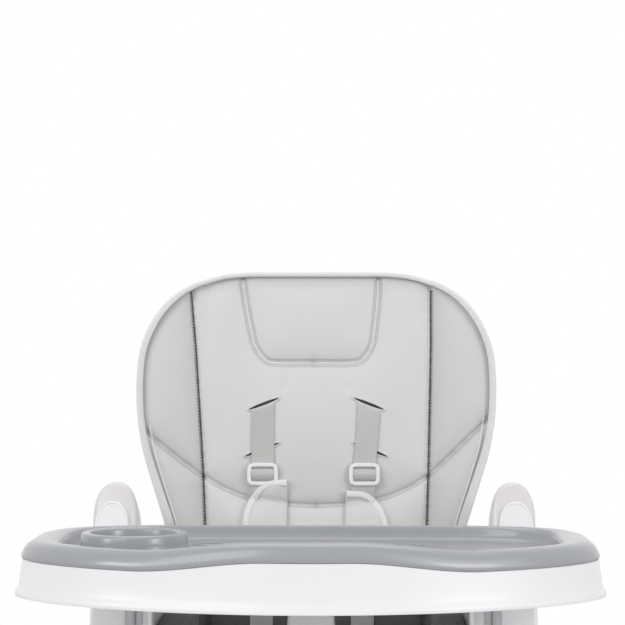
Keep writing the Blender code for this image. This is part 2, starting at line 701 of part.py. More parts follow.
def seat_and_harness(upright):
    shell = trough(SEAT_HALF_WIDTH, SEAT_BOTTOM, ARM_BOTTOM - GAP, SEAT_CORNER, SEAT_REAR, SEAT_FRONT)
    wall("seat_shell", shell, 20, 4, SEAT_WALL, upright, WHITE)
    inset = SEAT_WALL + GAP
    pad = trough(SEAT_HALF_WIDTH - inset, SEAT_BOTTOM + inset, SEAT_PAD_SIDE, SEAT_CORNER - inset,
                 SEAT_REAR - 0.004, SEAT_FRONT + 0.002)
    wall("seat_pad", pad, 20, 4, SEAT_PAD_THICK, upright, PADDING)
    base = SEAT_PAD_TOP + GAP
    post = rounded(-CROTCH_WIDTH / 2, CROTCH_WIDTH / 2, CROTCH_FRONT, CROTCH_FRONT + CROTCH_DEPTH, 0.012)
    extruded("crotch_post", [post], base, CROTCH_TOP, "XY", upright, PADDING, 0.004)
    rear = BUCKLE_FRONT + BUCKLE_LENGTH
    half = BUCKLE_WIDTH / 2
    buckle = extruded("harness_buckle", [rounded(-half, half, BUCKLE_FRONT, rear, 0.010)], base, base + BUCKLE_HEIGHT,
                      "XY", upright, MID_GREY, 0.002)
    middle = (BUCKLE_FRONT + rear) / 2
    reach_x = BUTTON_WIDTH / 2
    reach_y = BUTTON_LENGTH / 2
    pocket_floor = base + BUCKLE_HEIGHT - BUTTON_POCKET
    clear = GAP
    pocket = extruded("button_pocket", [rounded(-reach_x - clear, reach_x + clear, middle - reach_y - clear,
                                                middle + reach_y + clear, 0.005)], pocket_floor,
                      base + BUCKLE_HEIGHT + 0.01, "XY", upright, MID_GREY)
    combine(buckle, [pocket], "DIFFERENCE")
    press = empty("buckle_button_axis", upright, (0.0, middle, pocket_floor + BUTTON_TRAVEL + GAP))
    button_height = BUTTON_POCKET - BUTTON_TRAVEL - GAP + BUTTON_PROUD
    extruded("buckle_button", [rounded(-reach_x, reach_x, -reach_y, reach_y, 0.005)], 0.0, button_height, "XY", press,
             WARM_GREY)
    for side, sign in SIDES.items():
        near = sign * (half + GAP)
        far = sign * 0.108
        lean = 0.045
        half_strap = STRAP_WIDTH / 2
        loop = [(near, middle - half_strap), (far, middle - half_strap + lean), (far, middle + half_strap + lean),
                (near, middle + half_strap)]
        if sign < 0:
            loop.reverse()
        extruded("waist_strap_" + side, [loop], base + 0.004, base + 0.004 + STRAP_THICK, "XY", upright, WEBBING)


def backrest(back):
    back_sheet("back_pad", -PAD_FRONT, BACK_PAD_THICK, 0.0, WING_LIFT, BACK_PAD_BOTTOM, back, PADDING)
    shell_front = -PAD_FRONT + BACK_PAD_THICK + BACK_SHELL_GAP
    back_sheet("back_shell", shell_front, BACK_SHELL_THICK, BACK_SHELL_INSET,
               WING_LIFT - WING_RELIEF, BACK_PAD_BOTTOM, back, WHITE)
    shell_rear = shell_front + BACK_SHELL_THICK + GAP
    recline_bar(back, shell_rear)
    for side, sign in SIDES.items():
        x = sign * STRAP_X
        front = -PAD_FRONT - GAP
        half = STRAP_WIDTH / 2
        extruded("shoulder_strap_" + side, [rectangle(x - half, x + half, STRAP_BOTTOM, STRAP_TOP)],
                 front - STRAP_THICK, front, "XZ", back, WEBBING)
        front -= STRAP_THICK + GAP
        slider = empty("slider_axis_" + side, back, (x, front, SLIDER_BASE))
        frame = rounded(-SLIDER_WIDTH / 2, SLIDER_WIDTH / 2, 0.0, SLIDER_HEIGHT, 0.004)
        window = rounded(-SLIDER_WIDTH / 2 + SLIDER_FRAME, SLIDER_WIDTH / 2 - SLIDER_FRAME, SLIDER_FRAME,
                         SLIDER_HEIGHT - SLIDER_FRAME, 0.002)
        extruded("strap_slider_" + side, [frame, window], -SLIDER_THICK, 0.0, "XZ", slider, WARM_GREY)
        top = SHOULDER_PAD_TOPS[side]
        inner = sign * (STRAP_X - SHOULDER_PAD_WIDTH * 0.58)
        outer = inner + sign * SHOULDER_PAD_WIDTH
        low, high = sorted((inner, outer))
        pad = rounded(low, high, SHOULDER_PAD_BOTTOM, top, 0.018)
        extruded("shoulder_pad_" + side, [pad], front - SHOULDER_PAD_THICK, front, "XZ", back, PADDING, 0.002)
    grip = empty("recline_handle_axis", back, (0.0, shell_rear, HANDLE_BASE))
    half = HANDLE_WIDTH / 2
    extruded("recline_handle", [rounded(-half, half, 0.0, HANDLE_HEIGHT, 0.010)], 0.0, HANDLE_DEPTH, "XZ", grip,
             MID_GREY, 0.003)


def recline_bar(back, shell_rear):
    """The steel hinge bar of the back: a barrel with a pin at each end and a flange up the shell."""
    end = RAIL_INNER - GAP
    bar = rod("recline_bar", (-end, 0.0, 0.0), (end, 0.0, 0.0), RECLINE_BARREL, back, STEEL)
    tip = RAIL_INNER + RAIL_THICK + 0.002
    pin = rod("recline_pin", (-tip, 0.0, 0.0), (tip, 0.0, 0.0), HINGE_PIN_RADIUS, back, STEEL)
    flange = extruded("recline_flange", [rectangle(-end + 0.02, end - 0.02, 0.0, RECLINE_FLANGE_TOP)], shell_rear,
                      shell_rear + RECLINE_FLANGE, "XZ", back, STEEL)
    combine(bar, [pin, flange], "UNION")


def leg_rest(legrest):
    """Built hanging down its local -Z from the hinge."""
    end = RAIL_INNER - GAP
    half = CALF_WIDTH / 2
    board = extruded("calf_board", [rounded(-half, half, -CALF_LENGTH, 0.0, 0.006)], -CALF_THICK / 2, CALF_THICK / 2,
                     "XZ", legrest, WHITE)
    barrel = rod("calf_barrel", (-end, 0.0, 0.0), (end, 0.0, 0.0), CALF_BARREL, legrest, WHITE)
    tip = RAIL_INNER + RAIL_THICK + 0.002
    pin = rod("calf_pin", (-tip, 0.0, 0.0), (tip, 0.0, 0.0), HINGE_PIN_RADIUS, legrest, STEEL)
    combine(board, [barrel, pin], "UNION")
    front = -CALF_THICK / 2 - GAP
    extruded("calf_pad", [rounded(-half + 0.004, half - 0.004, -CALF_PAD_BOTTOM, -CALF_PAD_TOP, 0.014)],
             front - CALF_PAD_THICK, front, "XZ", legrest, PADDING, 0.003)
    round_end = FOOTREST_THICK / 2
    foot = empty("footrest_axis", legrest, (0.0, front - round_end, -CALF_LENGTH + round_end))
    profile = rounded(-FOOTREST_DEPTH, round_end, -round_end, round_end, round_end - 0.0001, 3)
    extruded("footrest", [profile], -half, half, "YZ", foot, WHITE)


def tray(slide, lift):
    lip = TRAY_FLARE
    rim_z = TRAY_SPLIT
    under_deck = DECK_TOP - TRAY_DECK
    rings = [tray_ring(outline, lip + TRAY_WALL + 0.006, under_deck, False),
             tray_ring(outline, lip + TRAY_WALL, under_deck - 0.004, False),
             tray_ring(outline, TRAY_WALL, TRAY_BOTTOM, False),
             tray_ring(outline, 0.0, TRAY_BOTTOM, False),
             tray_ring(outline, 0.0, TRAY_BOTTOM + 0.004, False),
             tray_ring(outline, lip - 0.003, TRAY_BOTTOM + 0.016, False),
             tray_ring(outline, lip, rim_z),
             tray_ring(outline, lip + TRAY_WALL, rim_z),
             tray_ring(outline, lip + TRAY_WALL + 0.004, DECK_TOP, False)]
    base = ring_solid("tray_base", rings, slide, WHITE)
    cutters = []
    for side, sign in SIDES.items():
        low, high = sorted((sign * (CARRIER_OUTER - ARM_WIDTH - 0.003), sign * (CARRIER_OUTER + 0.003)))
        cutters.append(extruded("tray_notch_" + side, [rectangle(low, high, TRAY_REAR - 0.030, 0.0)],
                                TRAY_BOTTOM - 0.01, ARM_TOP + GAP / 2, "XY", slide, WHITE))
    combine(base, cutters, "DIFFERENCE")
    smooth(base)
    skin = INSERT_SKIN
    sits = rim_z + GAP
    floor = TRAY_FLOOR
    crest = TRAY_RIM
    rings = [tray_ring(recess, 0.004, floor - skin, False),
             tray_ring(recess, -0.003, floor - skin + 0.001, False),
             tray_ring(recess, -0.006, crest - 0.008),
             tray_ring(outline, lip + 0.012, crest - skin),
             tray_ring(outline, lip + TRAY_WALL + 0.001, rim_z + 0.004),
             tray_ring(outline, lip + TRAY_WALL + 0.001, sits),
             tray_ring(outline, lip - 0.0005, sits),
             tray_ring(outline, lip + 0.0005, rim_z + 0.010),
             tray_ring(outline, lip + 0.004, crest - 0.003),
             tray_ring(outline, lip + 0.011, crest),
             tray_ring(recess, -0.004, crest - 0.003),
             tray_ring(recess, -0.001, crest - 0.006),
             tray_ring(recess, 0.003, floor + 0.001, False),
             tray_ring(recess, 0.007, floor, False)]
    insert = ring_solid("tray_insert", rings, lift, MID_GREY)
    profile = [(CUP_HOLE, floor - skin / 2), (CUP_OUTER + 0.003, floor - skin / 2), (CUP_OUTER, CUP_TOP - 0.003),
               (CUP_OUTER - 0.003, CUP_TOP), (CUP_HOLE + 0.002, CUP_TOP), (CUP_HOLE, CUP_TOP - 0.002)]
    ring = turned("cup_ring", profile, (CUP_X, CUP_Y, 0.0), lift, MID_GREY, 32)
    combine(insert, [ring], "UNION")
    smooth(insert)
    front = -TRAY_FRONT + lip + TRAY_WALL + RELEASE_BEHIND_FRONT
    top = under_deck - GAP
    release = empty("tray_release_axis", slide, (0.0, front, top - RELEASE_HEIGHT))
    half = RELEASE_WIDTH / 2
    extruded("tray_release", [rounded(-half, half, 0.0, RELEASE_DEPTH, 0.008)], 0.0, RELEASE_HEIGHT, "XY", release,
             MID_GREY, 0.002)


def build():
    frame = empty("front_frame")
    column = empty("column_axis", frame, (0.0, 0.0, COLUMN_TOP), COLUMN_LEAN)
    rear = empty("fold_axis", frame, FOLD_AXIS, -REAR_LEAN)
    seat = empty("seat_slide", frame, (0.0, 0.0, COLUMN_TOP), COLUMN_LEAN)
    upright = empty("seat_upright", frame)
    back = empty("recline_axis", upright, (0.0, RECLINE_Y, RECLINE_Z), BACK_LEAN)
    legrest = empty("legrest_axis", upright, (0.0, LEGREST_Y, LEGREST_Z), LEGREST_LEAN)
    slide = empty("tray_slide", upright)
    lift = empty("insert_lift", slide)
    bpy.context.view_layer.update()
    front_columns(frame, column)
    fold_brackets(column)
    rear_frame(rear, REAR_REACH)
    seat_frame(seat, upright)
    seat_and_harness(upright)
    backrest(back)
    leg_rest(legrest)
    tray(slide, lift)


clear_scene()
PARTS = new_collection("baby_high_chair")
CUTTERS = new_collection("cutters")
WHITE = material("white_plastic", (0.85, 0.85, 0.86), 0.40)
WARM_GREY = material("warm_grey_plastic", (0.72, 0.69, 0.69), 0.35)
MID_GREY = material("grey_plastic", (0.36, 0.37, 0.39), 0.30)
DARK_GREY = material("dark_plastic", (0.08, 0.08, 0.09), 0.50)
RUBBER = material("rubber", (0.05, 0.05, 0.05), 0.80)
STEEL = material("steel", (0.60, 0.60, 0.60), 0.30, 1.0)
PADDING = material("padding", (0.68, 0.69, 0.69), 0.55)
WEBBING = material("webbing", (0.45, 0.45, 0.45), 0.90)
build()
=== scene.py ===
import json
import logging
import math
from dataclasses import dataclass
from enum import Enum
from typing import Callable, Optional, Sequence

import bmesh
import bpy
import numpy as np
from mathutils import Matrix, Vector
from mathutils.bvhtree import BVHTree


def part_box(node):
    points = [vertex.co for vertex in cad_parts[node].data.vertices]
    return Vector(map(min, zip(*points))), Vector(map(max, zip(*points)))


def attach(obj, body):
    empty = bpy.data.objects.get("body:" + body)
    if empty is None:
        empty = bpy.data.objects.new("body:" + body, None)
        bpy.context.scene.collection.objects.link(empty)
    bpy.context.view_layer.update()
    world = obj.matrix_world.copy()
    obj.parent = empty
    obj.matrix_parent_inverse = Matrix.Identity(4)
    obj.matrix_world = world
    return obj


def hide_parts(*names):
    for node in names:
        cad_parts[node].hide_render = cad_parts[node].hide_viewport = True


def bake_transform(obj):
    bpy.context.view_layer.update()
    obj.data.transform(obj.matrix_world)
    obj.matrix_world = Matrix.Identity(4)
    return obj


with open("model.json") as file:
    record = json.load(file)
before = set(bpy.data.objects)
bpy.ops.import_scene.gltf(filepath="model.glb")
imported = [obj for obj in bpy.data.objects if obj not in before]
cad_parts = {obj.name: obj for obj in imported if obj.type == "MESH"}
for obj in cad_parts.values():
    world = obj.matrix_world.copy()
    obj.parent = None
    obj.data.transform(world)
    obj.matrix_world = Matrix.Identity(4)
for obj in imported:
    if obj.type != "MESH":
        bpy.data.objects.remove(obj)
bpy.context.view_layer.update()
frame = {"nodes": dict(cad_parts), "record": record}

LOG = logging.getLogger("high_chair")

Point = tuple[float, float, float]
Flat = tuple[float, float]
Outline = Sequence[Flat]
Route = Sequence[Vector]
Piece = bpy.types.Object
SIDES = {"L": -1.0, "R": 1.0}


class Surface(Enum):
    """The kinds of surface detail that a finish can have."""

    MOULDED = "moulded"
    LEATHER = "leather"
    WOVEN = "woven"
    BRUSHED = "brushed"
    CORDED = "corded"


# ---- finishes

class Graph:
    """A node tree with short calls for adding and joining nodes."""

    def __init__(self, tree: bpy.types.NodeTree) -> None:
        """Args:
            tree: the shader or geometry tree to add to.
        """
        self.tree = tree

    def add(self, kind: str, inputs: Optional[dict] = None, **settings: object) -> bpy.types.Node:
        """Adds one node.

        Args:
            kind: the node's type.
            inputs: a value or a socket to join, for each input by name or index.
            settings: the node's own properties.

        Returns:
            The new node.
        """
        node = self.tree.nodes.new(kind)
        for name, value in settings.items():
            setattr(node, name, value)
        for name, value in (inputs or {}).items():
            if isinstance(value, bpy.types.NodeSocket):
                self.tree.links.new(value, node.inputs[name])
            else:
                node.inputs[name].default_value = value
        return node

    def math(self, operation: str, *values: object) -> bpy.types.NodeSocket:
        """Adds a Math node and returns its output.

        Args:
            operation: the Math node's operation.
            values: a number or a socket for each input.

        Returns:
            The result's socket.
        """
        return self.add("ShaderNodeMath", dict(enumerate(values)), operation=operation).outputs[0]


def node_group(name: str, kind: str, inputs: dict[str, str], outputs: dict[str, str]) -> Graph:
    """Makes a node group with its sockets.

    Args:
        name: the group's name.
        kind: "Shader" or "Geometry".
        inputs: the type of each input by its name.
        outputs: the type of each output by its name.

    Returns:
        The group's graph.
    """
    tree = bpy.data.node_groups.new(name, kind + "NodeTree")
    for direction, sockets in (("INPUT", inputs), ("OUTPUT", outputs)):
        for label, value in sockets.items():
            tree.interface.new_socket(label, in_out=direction, socket_type="NodeSocket" + value)
    return Graph(tree)


def build_tone_group() -> bpy.types.NodeTree:
    """Slow colour and gloss changes, and paler worn edges.

    Returns:
        The node group.
    """
    graph = node_group("tone_and_wear", "Shader",
                       {"Color": "Color", "Amount": "Float", "Wear": "Float", "Roughness": "Float"},
                       {"Color": "Color", "Roughness": "Float"})
    given = graph.add("NodeGroupInput").outputs
    place = graph.add("ShaderNodeTexCoord").outputs["Object"]
    cloud = graph.add("ShaderNodeTexNoise", {"Vector": place, "Scale": 12.0, "Detail": 4.0})
    signed = graph.math("SUBTRACT", cloud.outputs["Fac"], 0.5)
    shift = graph.math("MULTIPLY_ADD", signed, given["Amount"], 1.0)
    toned = graph.add("ShaderNodeVectorMath", {0: given["Color"], "Scale": shift}, operation="SCALE")
    edge = graph.add("ShaderNodeNewGeometry").outputs["Pointiness"]
    worn = graph.add("ShaderNodeMapRange", {0: edge, 1: 0.53, 2: 0.62, 3: 0.0, 4: 1.0}).outputs[0]
    patches = graph.add("ShaderNodeTexNoise", {"Vector": place, "Scale": 90.0, "Detail": 3.0}).outputs["Fac"]
    mask = graph.math("MULTIPLY", graph.math("MULTIPLY", worn, patches), given["Wear"])
    mixed = graph.add("ShaderNodeMix", {0: mask, 6: toned.outputs[0], 7: (0.93, 0.93, 0.92, 1.0)},
                      data_type="RGBA")
    rough = graph.math("MULTIPLY_ADD", signed, 0.25, given["Roughness"])
    graph.add("NodeGroupOutput", {"Color": mixed.outputs[2], "Roughness": rough})
    return graph.tree


def build_grain_group() -> bpy.types.NodeTree:
    """A fine pebbled height with a softer swell under it, for leather cloth and spark-eroded plastic.

    Returns:
        The node group.
    """
    graph = node_group("pebble_grain", "Shader", {"Scale": "Float", "Swell": "Float"}, {"Height": "Float"})
    given = graph.add("NodeGroupInput").outputs
    place = graph.add("ShaderNodeTexCoord").outputs["Object"]
    pebble = graph.add("ShaderNodeTexVoronoi", {"Vector": place, "Scale": given["Scale"]},
                       feature="SMOOTH_F1").outputs["Distance"]
    swell = graph.add("ShaderNodeTexNoise", {"Vector": place, "Scale": 70.0, "Detail": 5.0}).outputs["Fac"]
    low = graph.math("MULTIPLY", swell, given["Swell"])
    graph.add("NodeGroupOutput", {"Height": graph.math("ADD", graph.math("MULTIPLY", pebble, 0.5), low)})
    return graph.tree


def build_weave_group() -> bpy.types.NodeTree:
    """A twill read from the piece's own UV map, which runs in metres.

    Returns:
        The node group.
    """
    graph = node_group("twill_weave", "Shader", {"Threads": "Float"}, {"Height": "Float", "Shade": "Float"})
    threads = graph.add("NodeGroupInput").outputs["Threads"]
    uv = graph.add("ShaderNodeUVMap").outputs["UV"]
    split = graph.add("ShaderNodeSeparateXYZ", {"Vector": uv})
    across = graph.math("MULTIPLY", split.outputs["X"], threads)
    along = graph.math("MULTIPLY", split.outputs["Y"], threads)
    slope = graph.math("ADD", across, graph.math("MULTIPLY", along, 0.6))
    rib = graph.math("SINE", graph.math("MULTIPLY", slope, 6.0))
    pick = graph.math("SINE", graph.math("MULTIPLY", along, 6.2))
    height = graph.math("MULTIPLY_ADD", pick, 0.35, rib)
    shade = graph.add("ShaderNodeMapRange", {0: height, 1: -1.3, 2: 1.3, 3: 0.86, 4: 1.06}).outputs[0]
    graph.add("NodeGroupOutput", {"Height": height, "Shade": shade})
    return graph.tree


@dataclass(frozen=True)
class Finish:
    """One of the chair's finishes, in the linear colours that it shows under plain light."""

    name: str
    slot: str
    color: Point
    roughness: float
    surface: Surface
    grain: float = 900.0
    depth: float = 0.00008
    tone: float = 0.06
    wear: float = 0.15
    metallic: float = 0.0
    coat: float = 0.0
    sheen: float = 0.0
    specular: float = 0.5

    def build(self, groups: dict[str, bpy.types.NodeTree]) -> bpy.types.Material:
        """Makes the material.

        Args:
            groups: the shared node groups by name.

        Returns:
            The material, with its pattern on Object coordinates or on the UV map.
        """
        made = bpy.data.materials.new(self.name)
        made.use_nodes = True
        graph = Graph(made.node_tree)
        shader = made.node_tree.nodes["Principled BSDF"]
        for label, value in (("Metallic", self.metallic), ("Coat Weight", self.coat),
                             ("Coat Roughness", 0.12), ("Sheen Weight", self.sheen),
                             ("Sheen Roughness", 0.45), ("Specular IOR Level", self.specular)):
            shader.inputs[label].default_value = value
        tone = graph.add("ShaderNodeGroup", {"Color": (*self.color, 1.0), "Amount": self.tone,
                                             "Wear": self.wear, "Roughness": self.roughness},
                         node_tree=groups["tone"])
        graph.tree.links.new(tone.outputs["Roughness"], shader.inputs["Roughness"])
        color, height = self.pattern(graph, groups, tone.outputs["Color"])
        graph.tree.links.new(color, shader.inputs["Base Color"])
        bump = graph.add("ShaderNodeBump", {"Height": height, "Distance": self.depth, "Strength": 1.0})
        graph.tree.links.new(bump.outputs["Normal"], shader.inputs["Normal"])
        return made

    def pattern(self, graph: Graph, groups: dict[str, bpy.types.NodeTree],
                color: bpy.types.NodeSocket) -> tuple[bpy.types.NodeSocket, bpy.types.NodeSocket]:
        """Adds the surface's own pattern.

        Args:
            graph: the material's graph.
            groups: the shared node groups by name.
            color: the toned base colour.

        Returns:
            The patterned colour and the height for the bump.
        """
        if self.surface is Surface.WOVEN:
            weave = graph.add("ShaderNodeGroup", {"Threads": self.grain}, node_tree=groups["weave"])
            shaded = graph.add("ShaderNodeVectorMath", {0: color, "Scale": weave.outputs["Shade"]},
                               operation="SCALE")
            return shaded.outputs[0], weave.outputs["Height"]
        if self.surface is Surface.BRUSHED:
            place = graph.add("ShaderNodeTexCoord").outputs["Object"]
            stretch = graph.add("ShaderNodeMapping", {"Vector": place, "Scale": (12.0, 900.0, 900.0)})
            lines = graph.add("ShaderNodeTexNoise", {"Vector": stretch.outputs[0], "Scale": 1.0,
                                                     "Detail": 2.0})
            return color, lines.outputs["Fac"]
        swell = {Surface.LEATHER: 0.9, Surface.MOULDED: 0.15, Surface.CORDED: 0.4}[self.surface]
        grain = graph.add("ShaderNodeGroup", {"Scale": self.grain, "Swell": swell}, node_tree=groups["grain"])
        return color, grain.outputs["Height"]


FINISHES = (
    Finish("white_moulding", "white_plastic", (0.79, 0.79, 0.805), 0.36, Surface.MOULDED, coat=0.15,
           tone=0.03, wear=0.0),
    Finish("white_coating", "white_coated_steel", (0.78, 0.78, 0.79), 0.40, Surface.MOULDED, 500.0, 0.000004,
           coat=0.1, tone=0.01, wear=0.0),
    Finish("warm_moulding", "warm_grey_plastic", (0.68, 0.655, 0.655), 0.34, Surface.MOULDED, coat=0.2,
           tone=0.04),
    Finish("grey_gloss", "grey_plastic", (0.310, 0.320, 0.340), 0.25, Surface.MOULDED, 700.0, 0.00004,
           coat=0.35, tone=0.04, wear=0.0),
    Finish("dark_moulding", "dark_plastic", (0.055, 0.055, 0.060), 0.48, Surface.MOULDED, 1200.0, 0.0001),
    Finish("sole_rubber", "rubber", (0.035, 0.035, 0.035), 0.75, Surface.CORDED, 600.0, 0.0003, specular=0.3),
    Finish("zinc_steel", "steel", (0.60, 0.60, 0.61), 0.30, Surface.BRUSHED, depth=0.00004, metallic=1.0),
    Finish("pad_leather", "padding", (0.650, 0.648, 0.640), 0.52, Surface.LEATHER, 1100.0, 0.00022, tone=0.07,
           wear=0.05, sheen=0.08, specular=0.4),
    # The wings' colour is the pad's own, made darker as painted shade on the wings that turn away from the
    # light.
    Finish("pad_wing", "padding", (0.608, 0.604, 0.592), 0.52, Surface.LEATHER, 1100.0, 0.00022, tone=0.07,
           wear=0.05, sheen=0.08, specular=0.4),
    # Dark seat cloth, made darker still as painted shade from the tray over it.
    Finish("seat_cloth_and_shade", "padding", (0.105, 0.105, 0.108), 0.60, Surface.LEATHER, 1100.0, 0.00022, tone=0.08,
           wear=0.05, sheen=0.1, specular=0.35),
    Finish("binding", "padding", (0.890, 0.890, 0.895), 0.60, Surface.WOVEN, 1500.0, 0.00010, tone=0.04,
           wear=0.0, sheen=0.1),
    Finish("white_tape", "padding", (0.860, 0.860, 0.865), 0.60, Surface.WOVEN, 1500.0, 0.00006, tone=0.03,
           wear=0.0, sheen=0.1),
    # Dark thread for the wing seams' zig-zag, and the colour of the painted shade in the seams' valleys.
    Finish("seam_thread", "padding", (0.13, 0.125, 0.12), 0.85, Surface.CORDED, 2500.0, 0.0001, wear=0.0),
    Finish("stitching", "padding", (0.40, 0.40, 0.39), 0.75, Surface.CORDED, 2500.0, 0.0001, tone=0.10,
           wear=0.0),
    Finish("slit_shadow", "padding", (0.030, 0.030, 0.032), 0.85, Surface.LEATHER, 1500.0, 0.0001,
           specular=0.2),
    Finish("grey_webbing", "webbing", (0.680, 0.675, 0.660), 0.82, Surface.WOVEN, 700.0, 0.00025, tone=0.10,
           wear=0.0, sheen=0.15, specular=0.3),
)


class Wardrobe:
    """Every finish's material, ready to put on a piece."""

    def __init__(self) -> None:
        """Builds the shared groups once and each material from them."""
        groups = {"tone": build_tone_group(), "grain": build_grain_group(), "weave": build_weave_group()}
        self.finishes = {finish.name: finish for finish in FINISHES}
        self.materials = {finish.name: finish.build(groups) for finish in FINISHES}
        self.by_slot = {}
        for finish in FINISHES:
            self.by_slot.setdefault(finish.slot, finish.name)

    def dress(self, piece: Piece, finish: str) -> None:
        """Puts a finish on a piece.

        Args:
            piece: the object to dress.
            finish: the finish's name.
        """
        piece.data.materials.clear()
        piece.data.materials.append(self.materials[finish])

    def add(self, piece: Piece, body: str, finish: str, replaces: Sequence[str] = ()) -> Piece:
        """Dresses a finished piece and hands it to the frame.

        Args:
            piece: the piece.
            body: the body it moves with.
            finish: the finish's name.
            replaces: the nodes it stands for.

        Returns:
            The piece.
        """
        self.dress(piece, finish)
        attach(piece, body)
        if replaces:
            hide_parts(*replaces)
        LOG.info("%s rides on %s in %s", piece.name, body, finish)
        return piece


# ---- mesh tools

def to_object(name: str, form: bmesh.types.BMesh, angle: Optional[float] = 40.0) -> Piece:
    """Turns a bmesh into a linked object with smooth shading.

    Args:
        name: the piece's name.
        form: the mesh under construction, which is freed.
        angle: edges sharper than this many degrees stay sharp; None keeps every edge smooth.

    Returns:
        The new object, at the origin.
    """
    mesh = bpy.data.meshes.new(name)
    form.to_mesh(mesh)
    form.free()
    mesh.shade_smooth()
    if angle is not None:
        mesh.set_sharp_from_angle(angle=math.radians(angle))
    piece = bpy.data.objects.new(name, mesh)
    bpy.context.scene.collection.objects.link(piece)
    return piece


def evaluated(piece: Piece) -> bpy.types.Mesh:
    """Gives the mesh that a piece's modifiers make.

    Args:
        piece: the object.

    Returns:
        A new mesh.
    """
    graph = bpy.context.evaluated_depsgraph_get()
    return bpy.data.meshes.new_from_object(piece.evaluated_get(graph), depsgraph=graph)


def settle(piece: Piece, angle: Optional[float] = 40.0) -> Piece:
    """Applies a piece's modifiers in place.

    Args:
        piece: the object.
        angle: edges sharper than this many degrees stay sharp; None keeps every edge smooth.

    Returns:
        The same object.
    """
    mesh = evaluated(piece)
    piece.modifiers.clear()
    piece.data = mesh
    mesh.shade_smooth()
    if angle is not None:
        mesh.set_sharp_from_angle(angle=math.radians(angle))
    return piece


def subdivide(piece: Piece, levels: int) -> None:
    """Adds a Subdivision Surface modifier with equal view and render levels.

    Args:
        piece: the object.
        levels: how many times it is divided.
    """
    finer = piece.modifiers.new("finer", "SUBSURF")
    finer.levels = levels
    finer.render_levels = levels


def merged_copy(node: str, name: str) -> Piece:
    """Copies a CAD node with its loose triangles joined and its flat faces made whole.

    Args:
        node: the node's name.
        name: the copy's name.

    Returns:
        The copy.
    """
    form = bmesh.new()
    form.from_mesh(frame["nodes"][node].data)
    bmesh.ops.remove_doubles(form, verts=form.verts, dist=0.00001)
    bmesh.ops.dissolve_limit(form, angle_limit=math.radians(1.0), verts=form.verts, edges=form.edges)
    return to_object(name, form)


def refined(node: str, edge: float) -> Piece:
    """A CAD node with softly rounded edges and smooth shading.

    Args:
        node: the node's name.
        edge: the radius of its edges.

    Returns:
        The finished copy.
    """
    piece = merged_copy(node, node + "_moulded")
    soft = piece.modifiers.new("soft_edges", "BEVEL")
    soft.width = edge
    soft.segments = 3
    soft.limit_method = "ANGLE"
    soft.angle_limit = math.radians(28.0)
    soft.use_clamp_overlap = True
    soft.harden_normals = False
    return settle(piece)


def loft(name: str, rings: Sequence[Sequence[Point]], closed: bool = False,
         angle: Optional[float] = 40.0) -> Piece:
    """Skins a row of equal rings.

    Args:
        name: the piece's name.
        rings: the rings, each a closed loop of points.
        closed: whether the last ring joins the first.
        angle: the shading angle.

    Returns:
        The piece, with a UV map in metres along (V) and around (U) the rings.
    """
    form = bmesh.new()
    layer = form.loops.layers.uv.new("UVMap")
    rows = [[form.verts.new(point) for point in ring] for ring in rings]
    count = len(rings[0])
    around = [0.0]
    for i in range(count):
        around.append(around[-1] + (Vector(rings[0][(i + 1) % count]) - Vector(rings[0][i])).length)
    along = [0.0]
    for lower, upper in zip(rings, rings[1:] + ([rings[0]] if closed else [])):
        along.append(along[-1] + (Vector(upper[0]) - Vector(lower[0])).length)
    for r in range(len(rows) - (0 if closed else 1)):
        lower, upper = rows[r], rows[(r + 1) % len(rows)]
        for i in range(count):
            j = (i + 1) % count
            face = form.faces.new((lower[i], lower[j], upper[j], upper[i]))
            corners = ((around[i], along[r]), (around[i + 1], along[r]), (around[i + 1], along[r + 1]),
                       (around[i], along[r + 1]))
            for corner, uv in zip(face.loops, corners):
                corner[layer].uv = uv
    if not closed:
        form.faces.new(rows[0])
        form.faces.new(rows[-1])
    bmesh.ops.recalc_face_normals(form, faces=form.faces)
    return to_object(name, form, angle)


def swept(name: str, path: Route, outs: Route, profile: Outline,
          closed: bool = False, angle: Optional[float] = 40.0) -> Piece:
    """Sweeps a cross section along a path.

    Args:
        name: the piece's name.
        path: the points of the route.
        outs: at each point, the direction that the profile's second axis follows.
        profile: the cross section as (sideways, outward) points.
        closed: whether the path is a loop.
        angle: the shading angle.

    Returns:
        The swept piece.
    """
    rings = []
    count = len(path)
    for i, point in enumerate(path):
        before = path[(i - 1) % count] if closed else path[max(i - 1, 0)]
        after = path[(i + 1) % count] if closed else path[min(i + 1, count - 1)]
        ahead = (after - before).normalized()
        side = ahead.cross(outs[i]).normalized()
        out = side.cross(ahead).normalized()
        rings.append([tuple(point + side * x + out * y) for x, y in profile])
    return loft(name, rings, closed, angle)


def bulged(value: float, power: float) -> float:
    """A power of a number's size, with the number's sign."""
    return math.copysign(abs(value) ** power, value)


def oval(width: float, height: float, steps: int = 12, power: float = 1.0) -> list[Flat]:
    """An oval cross section, squarer as the power falls.

    Args:
        width: its full width.
        height: its full height.
        steps: its points.
        power: 1 is an ellipse; 0.5 is close to a rounded rectangle.

    Returns:
        The section's points.
    """
    points = []
    for i in range(steps):
        angle = 2 * math.pi * (i + 0.5) / steps
        x, y = bulged(math.cos(angle), power), bulged(math.sin(angle), power)
        points.append((width / 2 * x, height / 2 * y))
    return points


